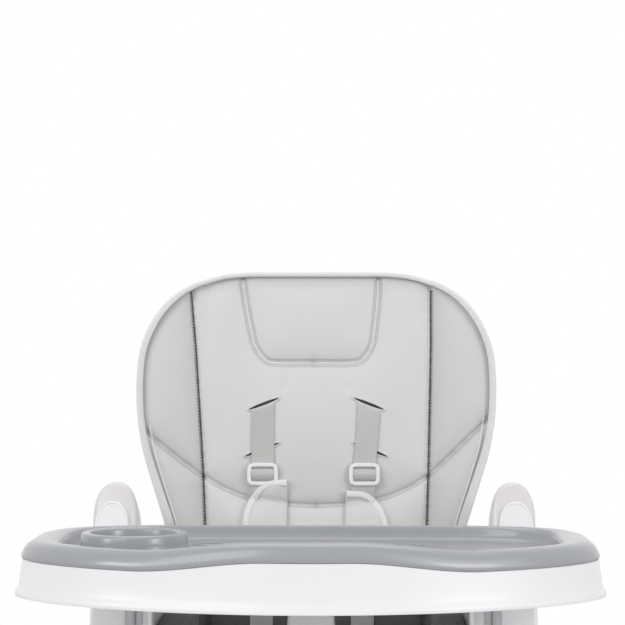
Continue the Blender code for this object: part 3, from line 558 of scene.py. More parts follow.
def smooth_path(points: Sequence[Sequence[float]], step: float, closed: bool = False) -> list[Vector]:
    """Runs a Catmull-Rom curve through points and resamples it evenly.

    Args:
        points: the points to pass through.
        step: the spacing wanted.
        closed: whether the curve is a loop.

    Returns:
        Evenly spaced points along the curve.
    """
    nodes = [Vector(point) for point in points]
    count = len(nodes)
    dense = []
    for i in range(count if closed else count - 1):
        if closed:
            a, b, c, d = (nodes[(i + k - 1) % count] for k in range(4))
        else:
            b, c = nodes[i], nodes[i + 1]
            a = nodes[i - 1] if i else b * 2 - c
            d = nodes[i + 2] if i + 2 < count else c * 2 - b
        for k in range(24):
            t = k / 24
            dense.append(0.5 * ((b * 2) + (c - a) * t + (a * 2 - b * 5 + c * 4 - d) * t * t
                                + (b * 3 - a - c * 3 + d) * t ** 3))
    dense.append(nodes[0] if closed else nodes[-1])
    run = np.concatenate([[0.0], np.cumsum([(q - p).length for p, q in zip(dense, dense[1:])])])
    total = max(2, round(run[-1] / step))
    marks = np.linspace(0.0, run[-1], total + 1)
    table = np.array([list(point) for point in dense])
    even = [Vector(tuple(np.interp(mark, run, column) for column in table.T)) for mark in marks]
    return even[:-1] if closed else even


def inflate(piece: Piece, pressure: float, cap: float, pins: Optional[Sequence[int]] = None,
            frames: int = 18) -> None:
    """Blows a closed piece up with Cloth and keeps each point within a cap of where it was.

    Args:
        piece: the object, which keeps its points.
        pressure: the cloth's inner pressure.
        cap: the furthest a point may move.
        pins: the points that stay where they are.
        frames: the frames to run.
    """
    start = np.array([tuple(vertex.co) for vertex in piece.data.vertices])
    cloth = piece.modifiers.new("cloth", "CLOTH")
    for name, value in (("use_pressure", True), ("uniform_pressure_force", pressure), ("quality", 4),
                        ("mass", 0.25), ("tension_stiffness", 12.0), ("compression_stiffness", 12.0),
                        ("bending_stiffness", 0.6), ("air_damping", 2.0)):
        setattr(cloth.settings, name, value)
    cloth.settings.effector_weights.gravity = 0.0
    cloth.collision_settings.use_collision = False
    if pins is not None:
        group = piece.vertex_groups.new(name="sewn")
        group.add(list(pins), 1.0, "REPLACE")
        cloth.settings.vertex_group_mass = "sewn"
    cloth.point_cache.frame_start = 1
    cloth.point_cache.frame_end = frames
    scene = bpy.context.scene
    for number in range(1, frames + 1):
        scene.frame_set(number)
    mesh = evaluated(piece)
    moved = np.array([tuple(vertex.co) for vertex in mesh.vertices])
    bpy.data.meshes.remove(mesh)
    piece.modifiers.clear()
    scene.frame_set(1)
    shift = moved - start
    length = np.maximum(np.linalg.norm(shift, axis=1, keepdims=True), 1e-9)
    shift *= cap * np.tanh(length / cap) / length
    piece.data.vertices.foreach_set("co", (start + shift).astype(np.float32).ravel())
    piece.data.update()


def stuffed(name: str, low: Vector, high: Vector, puff: float, sewn: Callable[[Vector], bool]) -> Piece:
    """A small stuffed block with rounded edges.

    Args:
        name: the piece's name.
        low: its lower corner.
        high: its upper corner.
        puff: how far its faces swell.
        sewn: tells which points stay where they are.

    Returns:
        The piece.
    """
    form = bmesh.new()
    bmesh.ops.create_cube(form, size=2.0)
    bmesh.ops.subdivide_edges(form, edges=form.edges, cuts=9, use_grid_fill=True)
    middle, half = (low + high) / 2, (high - low) / 2
    for vert in form.verts:
        unit = np.array(tuple(vert.co))
        rounded = unit / (np.sum(np.abs(unit) ** 9) ** (1 / 9))
        vert.co = middle + Vector(tuple(rounded[i] * half[i] for i in range(3)))
    bmesh.ops.recalc_face_normals(form, faces=form.faces)
    form.verts.index_update()
    pins = [vert.index for vert in form.verts if sewn(vert.co)]
    piece = to_object(name, form, None)
    inflate(piece, 2.0, puff, pins)
    subdivide(piece, 1)
    return settle(piece, None)


def pillow(sheets: Sequence[Sequence[Sequence[Point]]]) -> tuple[bmesh.types.BMesh, list, list]:
    """Joins two grids of points round their edges into one closed form.

    Args:
        sheets: both grids, each as rows of points.

    Returns:
        The form, both grids of its vertices and the vertices round the edge of each, in order.
    """
    form = bmesh.new()
    grids = [[[form.verts.new(point) for point in line] for line in sheet] for sheet in sheets]
    for grid in grids:
        for lower, upper in zip(grid, grid[1:]):
            for c in range(len(lower) - 1):
                form.faces.new((lower[c], lower[c + 1], upper[c + 1], upper[c]))
    rims = [grid[0] + [line[-1] for line in grid[1:]] + grid[-1][-2::-1] + [line[0] for line in grid[-2:0:-1]]
            for grid in grids]
    for i in range(len(rims[0])):
        form.faces.new((rims[0][i - 1], rims[0][i], rims[1][i], rims[1][i - 1]))
    bmesh.ops.recalc_face_normals(form, faces=form.faces)
    form.verts.index_update()
    return form, grids, rims


def distance_to(points: np.ndarray, line: Outline) -> np.ndarray:
    """The distance from many points to a polyline in the plane.

    Args:
        points: an array of (x, height) pairs.
        line: the polyline's corners.

    Returns:
        One distance for each point.
    """
    best = np.full(len(points), 1.0)
    for start, end in zip(line, line[1:]):
        a = np.array(start)
        ab = np.array(end) - a
        share = np.clip(((points - a) @ ab) / max(float(ab @ ab), 1e-12), 0.0, 1.0)
        gap = points - (a + share[:, None] * ab)
        best = np.minimum(best, np.hypot(gap[:, 0], gap[:, 1]))
    return best


def evened(loop: Outline, step: float) -> list[Flat]:
    """Places points evenly round a closed polygon.

    Args:
        loop: its corners, without a repeat of the first.
        step: the spacing wanted.

    Returns:
        The new points.
    """
    table = np.array(list(loop) + [loop[0]])
    run = np.concatenate([[0.0], np.cumsum(np.hypot(*np.diff(table, axis=0).T))])
    marks = np.linspace(0.0, run[-1], round(run[-1] / step) + 1)[:-1]
    return list(zip(np.interp(marks, run, table[:, 0]), np.interp(marks, run, table[:, 1])))


# ---- repeated detail

class DetailTree:
    """A Geometry Nodes tree that sets one small shape on every point of a mesh."""

    def __init__(self, name: str, inputs: dict[str, str]) -> None:
        """Args:
            name: the tree's name.
            inputs: the type of each input by its name, besides the geometry.
        """
        self.graph = node_group(name, "Geometry", {"Geometry": "Geometry"} | inputs, {"Geometry": "Geometry"})
        self.given = self.graph.add("NodeGroupInput").outputs
        items = self.graph.tree.interface.items_tree
        self.sockets = {item.name: item.identifier for item in items if item.in_out == "INPUT"}

    def scatter(self, links: dict[str, bpy.types.NodeSocket]) -> None:
        """Sets the shape on the points, makes the copies real and gives them the finish.

        Args:
            links: the sockets for Instance on Points.
        """
        placed = self.graph.add("GeometryNodeInstanceOnPoints", links).outputs[0]
        real = self.graph.add("GeometryNodeRealizeInstances", {"Geometry": placed}).outputs[0]
        dressed = self.graph.add("GeometryNodeSetMaterial", {"Geometry": real,
                                                             "Material": self.given["Finish"]})
        self.graph.add("NodeGroupOutput", {"Geometry": dressed.outputs[0]})

    def run(self, piece: Piece, values: dict[str, object]) -> Piece:
        """Runs the tree on a piece and keeps the result as a plain mesh.

        Args:
            piece: the mesh whose points are used.
            values: each input's value by its name.

        Returns:
            The same piece.
        """
        nodes = piece.modifiers.new("details", "NODES")
        nodes.node_group = self.graph.tree
        for label, value in values.items():
            nodes[self.sockets[label]] = value
        return settle(piece)


class StitchTree(DetailTree):
    """Lays short threads along lines."""

    def __init__(self) -> None:
        """Builds the tree once for every seam."""
        super().__init__("stitch_row", {"Spacing": "Float", "Length": "Float", "Radius": "Float",
                                        "Finish": "Material"})
        graph, given = self.graph, self.given
        route = graph.add("GeometryNodeMeshToCurve", {"Mesh": given["Geometry"]}).outputs[0]
        marks = graph.add("GeometryNodeResampleCurve", {"Curve": route, "Length": given["Spacing"]},
                          mode="LENGTH")
        thread = graph.add("GeometryNodeMeshCylinder", {"Vertices": 6, "Radius": given["Radius"],
                                                        "Depth": given["Length"]})
        tangent = graph.add("GeometryNodeInputTangent").outputs["Tangent"]
        turn = graph.add("FunctionNodeAlignEulerToVector", {"Vector": tangent}, axis="Z")
        self.scatter({"Points": marks.outputs["Curve"], "Instance": thread.outputs["Mesh"],
                      "Rotation": turn.outputs["Rotation"]})

    def sew(self, name: str, lines: Sequence[Route], thread: bpy.types.Material,
            spacing: float = 0.004, length: float = 0.0026, radius: float = 0.0004) -> Piece:
        """Sews one object of stitches along lines.

        Args:
            name: the piece's name.
            lines: the seams' points.
            thread: the thread's material.
            spacing: from one stitch to the next.
            length: one stitch's length.
            radius: the thread's radius.

        Returns:
            The stitches as a plain mesh.
        """
        form = bmesh.new()
        for line in lines:
            verts = [form.verts.new(point) for point in line]
            for a, b in zip(verts, verts[1:]):
                form.edges.new((a, b))
        return self.run(to_object(name, form, None), {"Spacing": spacing, "Length": length, "Radius": radius,
                                                      "Finish": thread})


class ScrewTree(DetailTree):
    """Sets cross-headed screws on points, each facing its own way."""

    HEIGHT = 0.0014

    def __init__(self) -> None:
        """Builds the tree once for every body."""
        super().__init__("screw_heads", {"Radius": "Float", "Height": "Float", "Finish": "Material"})
        graph, radius, height = self.graph, self.given["Radius"], self.given["Height"]
        narrow = graph.math("MULTIPLY", radius, 0.62)
        rim = graph.add("GeometryNodeMeshCone", {"Vertices": 18, "Radius Top": narrow,
                                                 "Radius Bottom": radius, "Depth": height})
        thin = graph.math("MULTIPLY", radius, 0.22)
        deep = graph.math("MULTIPLY", height, 0.9)
        lift = graph.add("ShaderNodeCombineXYZ", {"Z": height}).outputs[0]
        head = graph.add("GeometryNodeMeshBoolean", {"Mesh 1": rim.outputs["Mesh"]}, operation="DIFFERENCE")
        for x, y in ((radius, thin), (thin, radius)):
            size = graph.add("ShaderNodeCombineXYZ", {"X": x, "Y": y, "Z": deep}).outputs[0]
            block = graph.add("GeometryNodeMeshCube", {"Size": size}).outputs["Mesh"]
            slot = graph.add("GeometryNodeTransform", {"Geometry": block, "Translation": lift}).outputs[0]
            graph.tree.links.new(slot, head.inputs["Mesh 2"])
        facing = graph.add("GeometryNodeInputNamedAttribute", {"Name": "facing"}, data_type="FLOAT_VECTOR")
        turn = graph.add("FunctionNodeAlignEulerToVector", {"Vector": facing.outputs["Attribute"]}, axis="Z")
        self.scatter({"Points": self.given["Geometry"], "Instance": head.outputs["Mesh"],
                      "Rotation": turn.outputs["Rotation"]})

    def drive(self, name: str, places: Sequence[tuple[Vector, Vector]], steel: bpy.types.Material,
              radius: float) -> Piece:
        """Sets a screw at each place.

        Args:
            name: the piece's name.
            places: each screw's centre and the direction that its head faces.
            steel: the head's material.
            radius: the head's radius.

        Returns:
            The screws as a plain mesh.
        """
        form = bmesh.new()
        for centre, _ in places:
            form.verts.new(centre)
        piece = to_object(name, form, None)
        facing = piece.data.attributes.new("facing", "FLOAT_VECTOR", "POINT")
        for number, (_, direction) in enumerate(places):
            facing.data[number].vector = direction
        return self.run(piece, {"Radius": radius, "Height": self.HEIGHT, "Finish": steel})


class RibTree(DetailTree):
    """Lays a row of low grip ribs, each along X."""

    def __init__(self) -> None:
        """Builds the tree once for every row."""
        super().__init__("grip_ribs", {"Count": "Int", "Start": "Vector", "Step": "Vector", "Length": "Float",
                                       "Radius": "Float", "Finish": "Material"})
        graph, given = self.graph, self.given
        row = graph.add("GeometryNodeMeshLine", {"Count": given["Count"], "Start Location": given["Start"],
                                                 "Offset": given["Step"]}, mode="OFFSET")
        bar = graph.add("GeometryNodeMeshCylinder", {"Vertices": 14, "Radius": given["Radius"],
                                                     "Depth": given["Length"]}).outputs["Mesh"]
        laid = graph.add("GeometryNodeTransform", {"Geometry": bar, "Rotation": (0.0, math.pi / 2, 0.0)})
        self.scatter({"Points": row.outputs["Mesh"], "Instance": laid.outputs["Geometry"]})

    def lay(self, name: str, first: Vector, last: Vector, count: int, length: float, radius: float,
            moulding: bpy.types.Material) -> Piece:
        """Lays one row of ribs.

        Args:
            name: the piece's name.
            first: the middle of the first rib.
            last: the middle of the last rib.
            count: the number of ribs.
            length: a rib's length.
            radius: a rib's radius.
            moulding: the ribs' material.

        Returns:
            The row as a plain mesh.
        """
        return self.run(to_object(name, bmesh.new(), None), {
            "Count": count, "Start": first, "Step": (last - first) / (count - 1), "Length": length,
            "Radius": radius, "Finish": moulding})


# ---- the backrest

@dataclass
class Backrest:
    """The padded back with its seams, binding, harness straps, sliders and shoulder pads."""

    hinge_y: float = 0.075
    hinge_z: float = 0.565
    lean: float = math.radians(12.0)
    bottom: float = 0.035
    front: float = 0.027
    wing_start: float = 0.126
    wing_lift: float = 0.020
    crown: float = 0.0060
    # Below this height the back's foot takes the dark seat cloth with its painted shade.
    inset: float = 0.0040
    dark_foot_top: float = 0.105
    strap_width: float = 0.0255
    strap_thick: float = 0.0015
    outline: tuple = ((0.000, 0.1440), (0.040, 0.1485), (0.080, 0.1540), (0.120, 0.1605), (0.160, 0.1690),
                      (0.180, 0.1750), (0.200, 0.1815), (0.222, 0.1885), (0.245, 0.1953), (0.268, 0.1998),
                      (0.295, 0.2030), (0.330, 0.2035), (0.362, 0.2000), (0.395, 0.1870), (0.421, 0.1680),
                      (0.440, 0.1420), (0.4510, 0.1120), (0.4550, 0.0800), (0.4552, 0.0500))
    rows: int = 112
    columns: int = 104

    def __post_init__(self) -> None:
        """Works out the side curve and the seams' lines."""
        edge = smooth_path([(width, height, 0.0) for height, width in self.outline], 0.0005)
        self.side = []
        for i, point in enumerate(edge):
            ahead = (edge[min(i + 1, len(edge) - 1)] - edge[max(i - 1, 0)]).normalized()
            self.side.append(point + Vector((-ahead.y, ahead.x, 0.0)) * self.inset)
        self.widest = max(point.x for point in self.side)
        self.heights = [point.y for point in self.side]
        self.widths = [point.x for point in self.side]
        head = [(0.0785, 0.470), (0.0765, 0.430), (0.0700, 0.385), (0.0660, 0.368), (0.0560, 0.3535),
                (0.0430, 0.3490), (0.0, 0.3490)]
        self.head_half = smooth_path([(x, y, 0.0) for x, y in head], 0.003)
        chevron = [(0.215, 0.3000), (0.190, 0.2770), (0.125, 0.2190), (0.076, 0.1950), (0.031, 0.1880),
                   (0.0, 0.1865)]
        self.chevron_half = smooth_path([(x, y, 0.0) for x, y in chevron], 0.003)
        wing = [(0.1375, 0.4430), (0.1320, 0.330), (0.1250, 0.180), (0.1180, 0.000)]
        self.wing_half = smooth_path([(x, y, 0.0) for x, y in wing], 0.003)

    def world(self, x: float, height: float, out: float) -> Vector:
        """A point of the leaning back.

        Args:
            x: to the chair's right.
            height: up the back from the pad's lower edge.
            out: forward of the hinge's plane.

        Returns:
            The point in the frame.
        """
        up = height + self.bottom
        return Vector((x, self.hinge_y - out * math.cos(self.lean) + up * math.sin(self.lean),
                       self.hinge_z + out * math.sin(self.lean) + up * math.cos(self.lean)))

    def facing(self) -> Vector:
        """The direction in which the pad's face looks."""
        return Vector((0.0, -math.cos(self.lean), math.sin(self.lean)))

    def lift(self, x: float) -> float:
        """How far the wings stand forward at a distance from the middle."""
        share = min(1.0, max(0.0, abs(x) - self.wing_start) / (self.widest - self.wing_start))
        return self.wing_lift * (1.0 - (1.0 - share) ** 1.7)

    def sway(self, height: float) -> float:
        """How far to the side the sewn panels have crept at a height."""
        heights, shifts = (0.15, 0.23, 0.31, 0.37, 0.46), (0.0, -0.0006, -0.0023, -0.0037, -0.0078)
        return float(np.interp(height, heights, shifts))

    def sewn_at(self, x: float, height: float) -> Flat:
        """Where a place of the symmetric pattern lies: crept aside, with the left wing's seam drooping."""
        droop = 0.0135 * min(1.0, max(0.0, (-x - 0.125) / 0.090)) ** 0.7
        return x + self.sway(height), height - droop

    def both(self, half: Route) -> list[list[Flat]]:
        """Gives a seam and its mirror image, as sewn."""
        return [[self.sewn_at(sign * point.x, point.y) for point in half] for sign in (-1.0, 1.0)]

    def cushion(self) -> Piece:
        """Builds the pad: crowned between its seams, blown up by cloth, then drawn in along each seam.

        Returns:
            The pad, about two millimetres between its points.
        """
        run = len(self.side) - 1
        rings = []
        for row in range(self.rows):
            point = self.side[round(run * row / (self.rows - 1))]
            rings.append((point.x, point.y))
        flat = []
        for half, height in rings:
            for column in range(self.columns):
                flat.append((half * (2.0 * column / (self.columns - 1) - 1.0), height))
        flat = np.array(flat)
        seams = self.both(self.head_half) + self.both(self.chevron_half) + self.both(self.wing_half)
        edge = [(point.x, point.y) for point in self.side]
        rim = edge + [(-x, y) for x, y in reversed(edge)] + [edge[0]]
        from_rim = distance_to(flat, rim[::6] + [rim[-1]])
        from_seam = np.minimum.reduce([distance_to(flat, line[::2] + [line[-1]]) for line in seams])
        nearest = np.minimum(from_rim, from_seam)
        crowned = self.crown * (1.0 - np.exp(-(nearest / 0.020) ** 1.4))
        crowned -= 0.0015 * np.exp(-(from_rim / 0.004) ** 2)
        lifted = self.front + np.array([self.lift(x) for x in flat[:, 0]])
        rear = lifted - 0.021 - 0.0015 * (1 - np.exp(-(from_rim / 0.01) ** 2))
        sheets = []
        for outs in (lifted + crowned - 0.003, rear):
            points = [self.world(x, height, out) for (x, height), out in zip(flat, outs)]
            sheets.append([points[i:i + self.columns] for i in range(0, len(points), self.columns)])
        piece = to_object("back_cushion", pillow(sheets)[0], None)
        count = len(flat)
        pins = [i for i in range(count) if nearest[i] < 0.0035] + list(range(count, 2 * count))
        inflate(piece, 3.0, 0.004, pins)
        subdivide(piece, 1)
        settle(piece, None)
        self.draw_in(piece, seams)
        return piece

    def flat_of(self, coords: np.ndarray) -> np.ndarray:
        """Turns frame coordinates back into (x, height, out) on the leaning back."""
        y = coords[:, 1] - self.hinge_y
        z = coords[:, 2] - self.hinge_z
        out = -y * math.cos(self.lean) + z * math.sin(self.lean)
        up = y * math.sin(self.lean) + z * math.cos(self.lean)
        return np.column_stack([coords[:, 0], up - self.bottom, out])

    def draw_in(self, piece: Piece, seams: Sequence[Outline]) -> None:
        """Pulls the face down into a fold along each seam, with a slight pucker from stitch to stitch.

        Args:
            piece: the pad.
            seams: the seams' lines.
        """
        count = len(piece.data.vertices)
        coords = np.empty(count * 3)
        piece.data.vertices.foreach_get("co", coords)
        coords = coords.reshape(-1, 3)
        flat = self.flat_of(coords)
        on_face = flat[:, 2] > self.front + np.array([self.lift(x) for x in flat[:, 0]]) - 0.012
        shift = np.zeros(count)
        for line in seams:
            gap = distance_to(flat[:, :2], line[::2] + [line[-1]])
            pucker = 1.0 + 0.16 * np.sin(flat[:, 1] * 2 * math.pi / 0.012) * np.exp(-gap / 0.008)
            shift -= (0.0034 * np.exp(-(gap / 0.0026) ** 2) + 0.0012 * np.exp(-(gap / 0.008) ** 2)) * pucker
        for sign in (-1.0, 1.0):
            for length, angle in ((0.055, 0.45), (0.045, 0.85)):
                start = np.array([sign * 0.036, 0.318])
                end = start + length * np.array([-sign * math.sin(angle) * 0.4, math.cos(angle * 0.5)])
                gap = distance_to(flat[:, :2], [tuple(start), tuple(end)])
                fade = np.clip(1.0 - np.hypot(*(flat[:, :2] - start).T) / length, 0.0, 1.0)
                shift -= 0.0010 * np.exp(-(gap / 0.0035) ** 2) * fade
        coords += np.array(self.facing())[None, :] * (shift * on_face)[:, None]
        piece.data.vertices.foreach_set("co", coords.astype(np.float32).ravel())
        piece.data.update()

    def measure(self, cushion: Piece) -> None:
        """Keeps the finished pad's surface, so that what lies on it follows it.

        Args:
            cushion: the pad.
        """
        form = bmesh.new()
        form.from_mesh(cushion.data)
        self.skin = BVHTree.FromBMesh(form)
        form.free()

    def on_face(self, x: float, height: float, above: float) -> Vector:
        """A point over the finished pad's face.

        Args:
            x: to the chair's right.
            height: up the back.
            above: the distance off the face.

        Returns:
            The point.
        """
        start = self.world(x, height, 0.20)
        hit = self.skin.ray_cast(start, -self.facing())[0]
        if hit is None:
            hit = self.world(x, height, self.front + self.lift(x))
        return hit + self.facing() * above

    def edge_loop(self, inset: float, below: float) -> tuple[list[Vector], list[Vector]]:
        """The pad's edge as a closed route.

        Args:
            inset: how far inside the edge it runs.
            below: how far behind the face it runs.

        Returns:
            The points and each one's outward direction.
        """
        right = [(point.x, point.y) for point in self.side[::4]]
        fine = [Vector((x, y)) for x, y in evened(right + [(-x, y) for x, y in reversed(right)], 0.004)]
        points, outs = [], []
        for i, point in enumerate(fine):
            ahead = (fine[(i + 1) % len(fine)] - fine[i - 1]).normalized()
            away = Vector((ahead.y, -ahead.x))
            x, height = point.x - away.x * inset, point.y - away.y * inset
            points.append(self.world(x, height, self.front + self.lift(x) - below))
            way = self.world(x + away.x, height + away.y, 0.0) - self.world(x, height, 0.0)
            outs.append(way.normalized())
        return points, outs

    def binding(self) -> Piece:
        """The woven tape that wraps the pad's edge, with a stitched inner lip."""
        points, outs = self.edge_loop(0.0, 0.0105)
        rings = []
        face = self.facing()
        section = []
        for step in range(15):
            turn = math.pi * (step / 14) - math.pi / 2
            section.append((0.0024 + 0.0011 * math.cos(turn), 0.0125 * math.sin(turn)))
        section = [(-0.0040, -0.0130), (-0.0005, -0.0132)] + section + [(-0.0005, 0.0139), (-0.0060, 0.0146),
                                                                       (-0.0062, 0.0122), (-0.0040, 0.0100)]
        heights = self.flat_of(np.array([tuple(point) for point in points]))[:, 1]
        lips = np.interp(heights, [0.15, 0.27, 0.415, 0.445], [1.20, 0.75, 0.75, 0.45])
        for point, out, lip in zip(points, outs, lips):
            rings.append([tuple(point + out * (x * lip if x < 0.0 else x) + face * y) for x, y in section])
        return loft("back_binding", rings, closed=True, angle=50.0)

    def laid(self, name: str, points: Route, section: Outline, closed: bool = False,
             angle: float = 40.0) -> Piece:
        """Sweeps a section along points on the pad, its second axis facing forward.

        Args:
            name: the piece's name.
            points: the route.
            section: the cross section.
            closed: whether the route is a loop.
            angle: the shading angle.

        Returns:
            The swept piece.
        """
        return swept(name, points, [self.facing()] * len(points), section, closed, angle)

    def edge_cord(self, side: str) -> Piece:
        """The thin white cord that lies inside the binding of a wing's lower half."""
        points = []
        for start in np.arange(0.130, 0.290, 0.004):
            height = self.sewn_at(SIDES[side] * self.widest, float(start))[1]
            width = float(np.interp(height, self.heights, self.widths)) - 0.0095
            points.append(self.on_face(SIDES[side] * width, height, 0.0005))
        return self.laid("edge_cord_" + side, points, oval(0.0028, 0.0024, 8))

    def rows_on_face(self, half: Route, side: float, above: float) -> list[list[Vector]]:
        """Two rows beside a seam, on the finished face.

        Args:
            half: the right half of the seam.
            side: how far from the seam each row runs.
            above: how far off the face they lie.

        Returns:
            Four rows: two for each half of the pad.
        """
        rows = []
        for sign in (-1.0, 1.0):
            for offset in (-side, side):
                row = []
                for i, point in enumerate(half):
                    ahead = (half[min(i + 1, len(half) - 1)] - half[max(i - 1, 0)]).normalized()
                    x, height = self.sewn_at(sign * (point.x - ahead.y * offset), point.y + ahead.x * offset)
                    if self.inside(x, height, 0.010):
                        row.append(self.on_face(x, height, above))
                rows.append(row)
        return rows

    def inside(self, x: float, height: float, margin: float) -> bool:
        """Tells whether a place lies on the pad's face, clear of its edge by a margin."""
        if not margin < height < self.side[-1].y - margin * 0.8:
            return False
        width = float(np.interp(height, self.heights, self.widths))
        return abs(x) < width - margin

    def piping(self) -> Piece:
        """The raised cord round the head panel."""
        path = [Vector((-p.x, p.y, 0.0)) for p in self.head_half] + list(reversed(self.head_half))[1:]
        points = [self.on_face(*self.sewn_at(p.x, p.y), 0.0009) for p in path if self.inside(p.x, p.y, 0.004)]
        return self.laid("head_panel_piping", points, oval(0.0034, 0.0032, 10))

    def slit(self, inner: Flat, outer: Flat) -> tuple[list[Vector], list[Vector]]:
        """The route of a strap slit and of its lip.

        Args:
            inner: its end by the middle, as (x, height).
            outer: its outer end.

        Returns:
            The slit's points and the points of the lip round it.
        """
        route = [self.on_face(x, height, -0.0002) for x, height in np.linspace(inner, outer, 11)]
        centre = ((inner[0] + outer[0]) / 2, (inner[1] + outer[1]) / 2)
        half = math.dist(inner, outer) / 2
        tilt = math.atan2(outer[1] - inner[1], outer[0] - inner[0])
        lip = []
        for step in range(36):
            turn = 2 * math.pi * step / 36
            across, up = (half + 0.0022) * math.cos(turn), 0.0026 * math.sin(turn)
            lip.append(self.on_face(centre[0] + across * math.cos(tilt) - up * math.sin(tilt),
                                    centre[1] + across * math.sin(tilt) + up * math.cos(tilt), 0.0004))
        return route, lip

    def add_slits(self, wardrobe: Wardrobe) -> None:
        """Adds two pairs of slits, each a dark mouth inside a turned lip.

        Args:
            wardrobe: the finishes.
        """
        for side, sign in SIDES.items():
            for level, inner, outer in (("upper", (0.0430, 0.3070), (0.0760, 0.2940)),
                                        ("lower", (0.0420, 0.2555), (0.0800, 0.2405))):
                route, lip = self.slit((sign * inner[0], inner[1]), (sign * outer[0], outer[1]))
                mouth = self.laid(f"{level}_slit_{side}", route, oval(0.0030, 0.0026, 10))
                wardrobe.add(mouth, "backrest", "slit_shadow")
                hem = self.laid(f"{level}_slit_lip_{side}", lip, oval(0.0020, 0.0018, 8), closed=True)
                wardrobe.add(hem, "backrest", "pad_leather")

    def taut(self, x: float, height: float, above: float) -> Vector:
        """A point over the pad's face where the strap lies, which is straight as far as the slider can move.

        Args:
            x: to the chair's right.
            height: up the back.
            above: the distance off the strap's bed.

        Returns:
            The point.
        """
        start, face = self.world(0.0, 0.0, 0.0), self.facing()
        bed = [self.on_face(0.060, 0.209 + 0.006 * step, 0.0) for step in range(10)]
        highest = max((place - start).dot(face) for place in bed)
        point = self.on_face(x, height, above)
        straight = float(np.interp(height, [0.184, 0.207, 0.266, 0.292], [0.0, 1.0, 1.0, 0.0]))
        straight *= straight * (3.0 - 2.0 * straight)
        return point + face * (straight * (highest + above - (point - start).dot(face)))

    def strap_route(self, sign: float) -> tuple[list[Vector], list[Vector]]:
        """The shoulder strap from its slit down the pad, over the shoulder pad's place and on to the buckle.

        Args:
            sign: -1 on the left, 1 on the right.

        Returns:
            The route and, at each point, the way that its face looks.
        """
        x = sign * 0.060
        drift = 0.008 if sign > 0 else 0.0
        points = [self.taut(x - drift * min(1.0, (0.3005 - height) / 0.11), height, 0.0014)
                  for height in np.linspace(0.3000, 0.030, 70)]
        points[0] = points[0] - self.facing() * 0.0035
        points[1] = points[1] - self.facing() * 0.0005
        face = self.facing()
        outs = [face] * len(points)
        start, across = points[-1], Vector((0.0, 0.0, 1.0))
        ends = [Vector((x * 0.92, start.y - 0.030, 0.600)), Vector((x * 0.70, start.y - 0.065, 0.5905)),
                Vector((x * 0.42, -0.080, 0.5940)), Vector((x * 0.20, -0.100, 0.5985))]
        low = smooth_path([points[-3], points[-1]] + ends, 0.004)[4:]
        for i in range(len(low)):
            share = min(1.0, i / (len(low) * 0.45))
            outs.append((face * (1 - share) + across * share).normalized())
        return points + low, outs

    def add_harness(self, wardrobe: Wardrobe) -> None:
        """Adds the shoulder straps, their sliders and the shoulder pads.

        Args:
            wardrobe: the finishes.
        """
        for side, sign in SIDES.items():
            route, outs = self.strap_route(sign)
            strap = swept(f"shoulder_webbing_{side}", route, outs,
                          oval(self.strap_width, self.strap_thick, 20, 0.35), angle=35.0)
            self.slant(strap, sign)
            wardrobe.dress(strap, "grey_webbing")
            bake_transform(strap)
            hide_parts("shoulder_strap_" + side)
            LOG.info("%s bends between the seat and the backrest", strap.name)
            self.add_slider(wardrobe, side, sign)
            self.add_shoulder_pad(wardrobe, side, sign)

    def slant(self, strap: Piece, sign: float) -> None:
        """Slants the strap's top to follow its slit.

        Args:
            strap: the strap.
            sign: -1 on the left, 1 on the right.
        """
        up = self.world(0.0, 1.0, 0.0) - self.world(0.0, 0.0, 0.0)
        for vert in strap.data.vertices:
            x, height, _ = self.flat_of(np.array([tuple(vert.co)]))[0]
            fade = min(1.0, max(0.0, (height - 0.262) / 0.040))
            vert.co += up * (-(x * sign - 0.060) * 0.394 * fade)

    def add_slider(self, wardrobe: Wardrobe, side: str, sign: float) -> None:
        """Adds a three-bar slider with the strap over its middle bar.

        Args:
            wardrobe: the finishes.
            side: "L" or "R".
            sign: -1 on the left, 1 on the right.
        """
        middle = 0.248 - self.bottom + 0.0065
        centre = self.taut(-0.060 if sign < 0 else 0.0545, middle, 0.0038)
        up, face = self.world(0.0, 1.0, 0.0) - self.world(0.0, 0.0, 0.0), self.facing()
        loop = []
        for step in range(48):
            turn = 2 * math.pi * (step + 0.5) / 48
            loop.append((0.0150 * bulged(math.cos(turn), 0.34), 0.0106 * bulged(math.sin(turn), 0.34)))
        points = [centre + Vector((x, 0.0, 0.0)) + up * y for x, y in loop]
        outer = self.laid(f"slider_frame_{side}", points, oval(0.0046, 0.0028, 12, 0.6), closed=True)
        wardrobe.add(outer, "slider_" + side, "white_moulding", ["strap_slider_" + side])
        bar = [centre + Vector((x, 0.0, 0.0)) for x in np.linspace(-0.0150, 0.0150, 6)]
        middle_bar = self.laid(f"slider_bar_{side}", bar, oval(0.0034, 0.0028, 10, 0.7))
        wardrobe.add(middle_bar, "slider_" + side, "white_moulding")
        over = []
        for share in np.linspace(-1.0, 1.0, 25):
            rise = 0.0030 * math.cos(share * math.pi / 2) ** 0.7 - 0.0009
            over.append(centre + up * (share * 0.0058) + face * rise)
        tongue = self.laid(f"slider_webbing_{side}", over, oval(0.0252, 0.0013, 20, 0.35), angle=35.0)
        wardrobe.add(tongue, "slider_" + side, "grey_webbing")

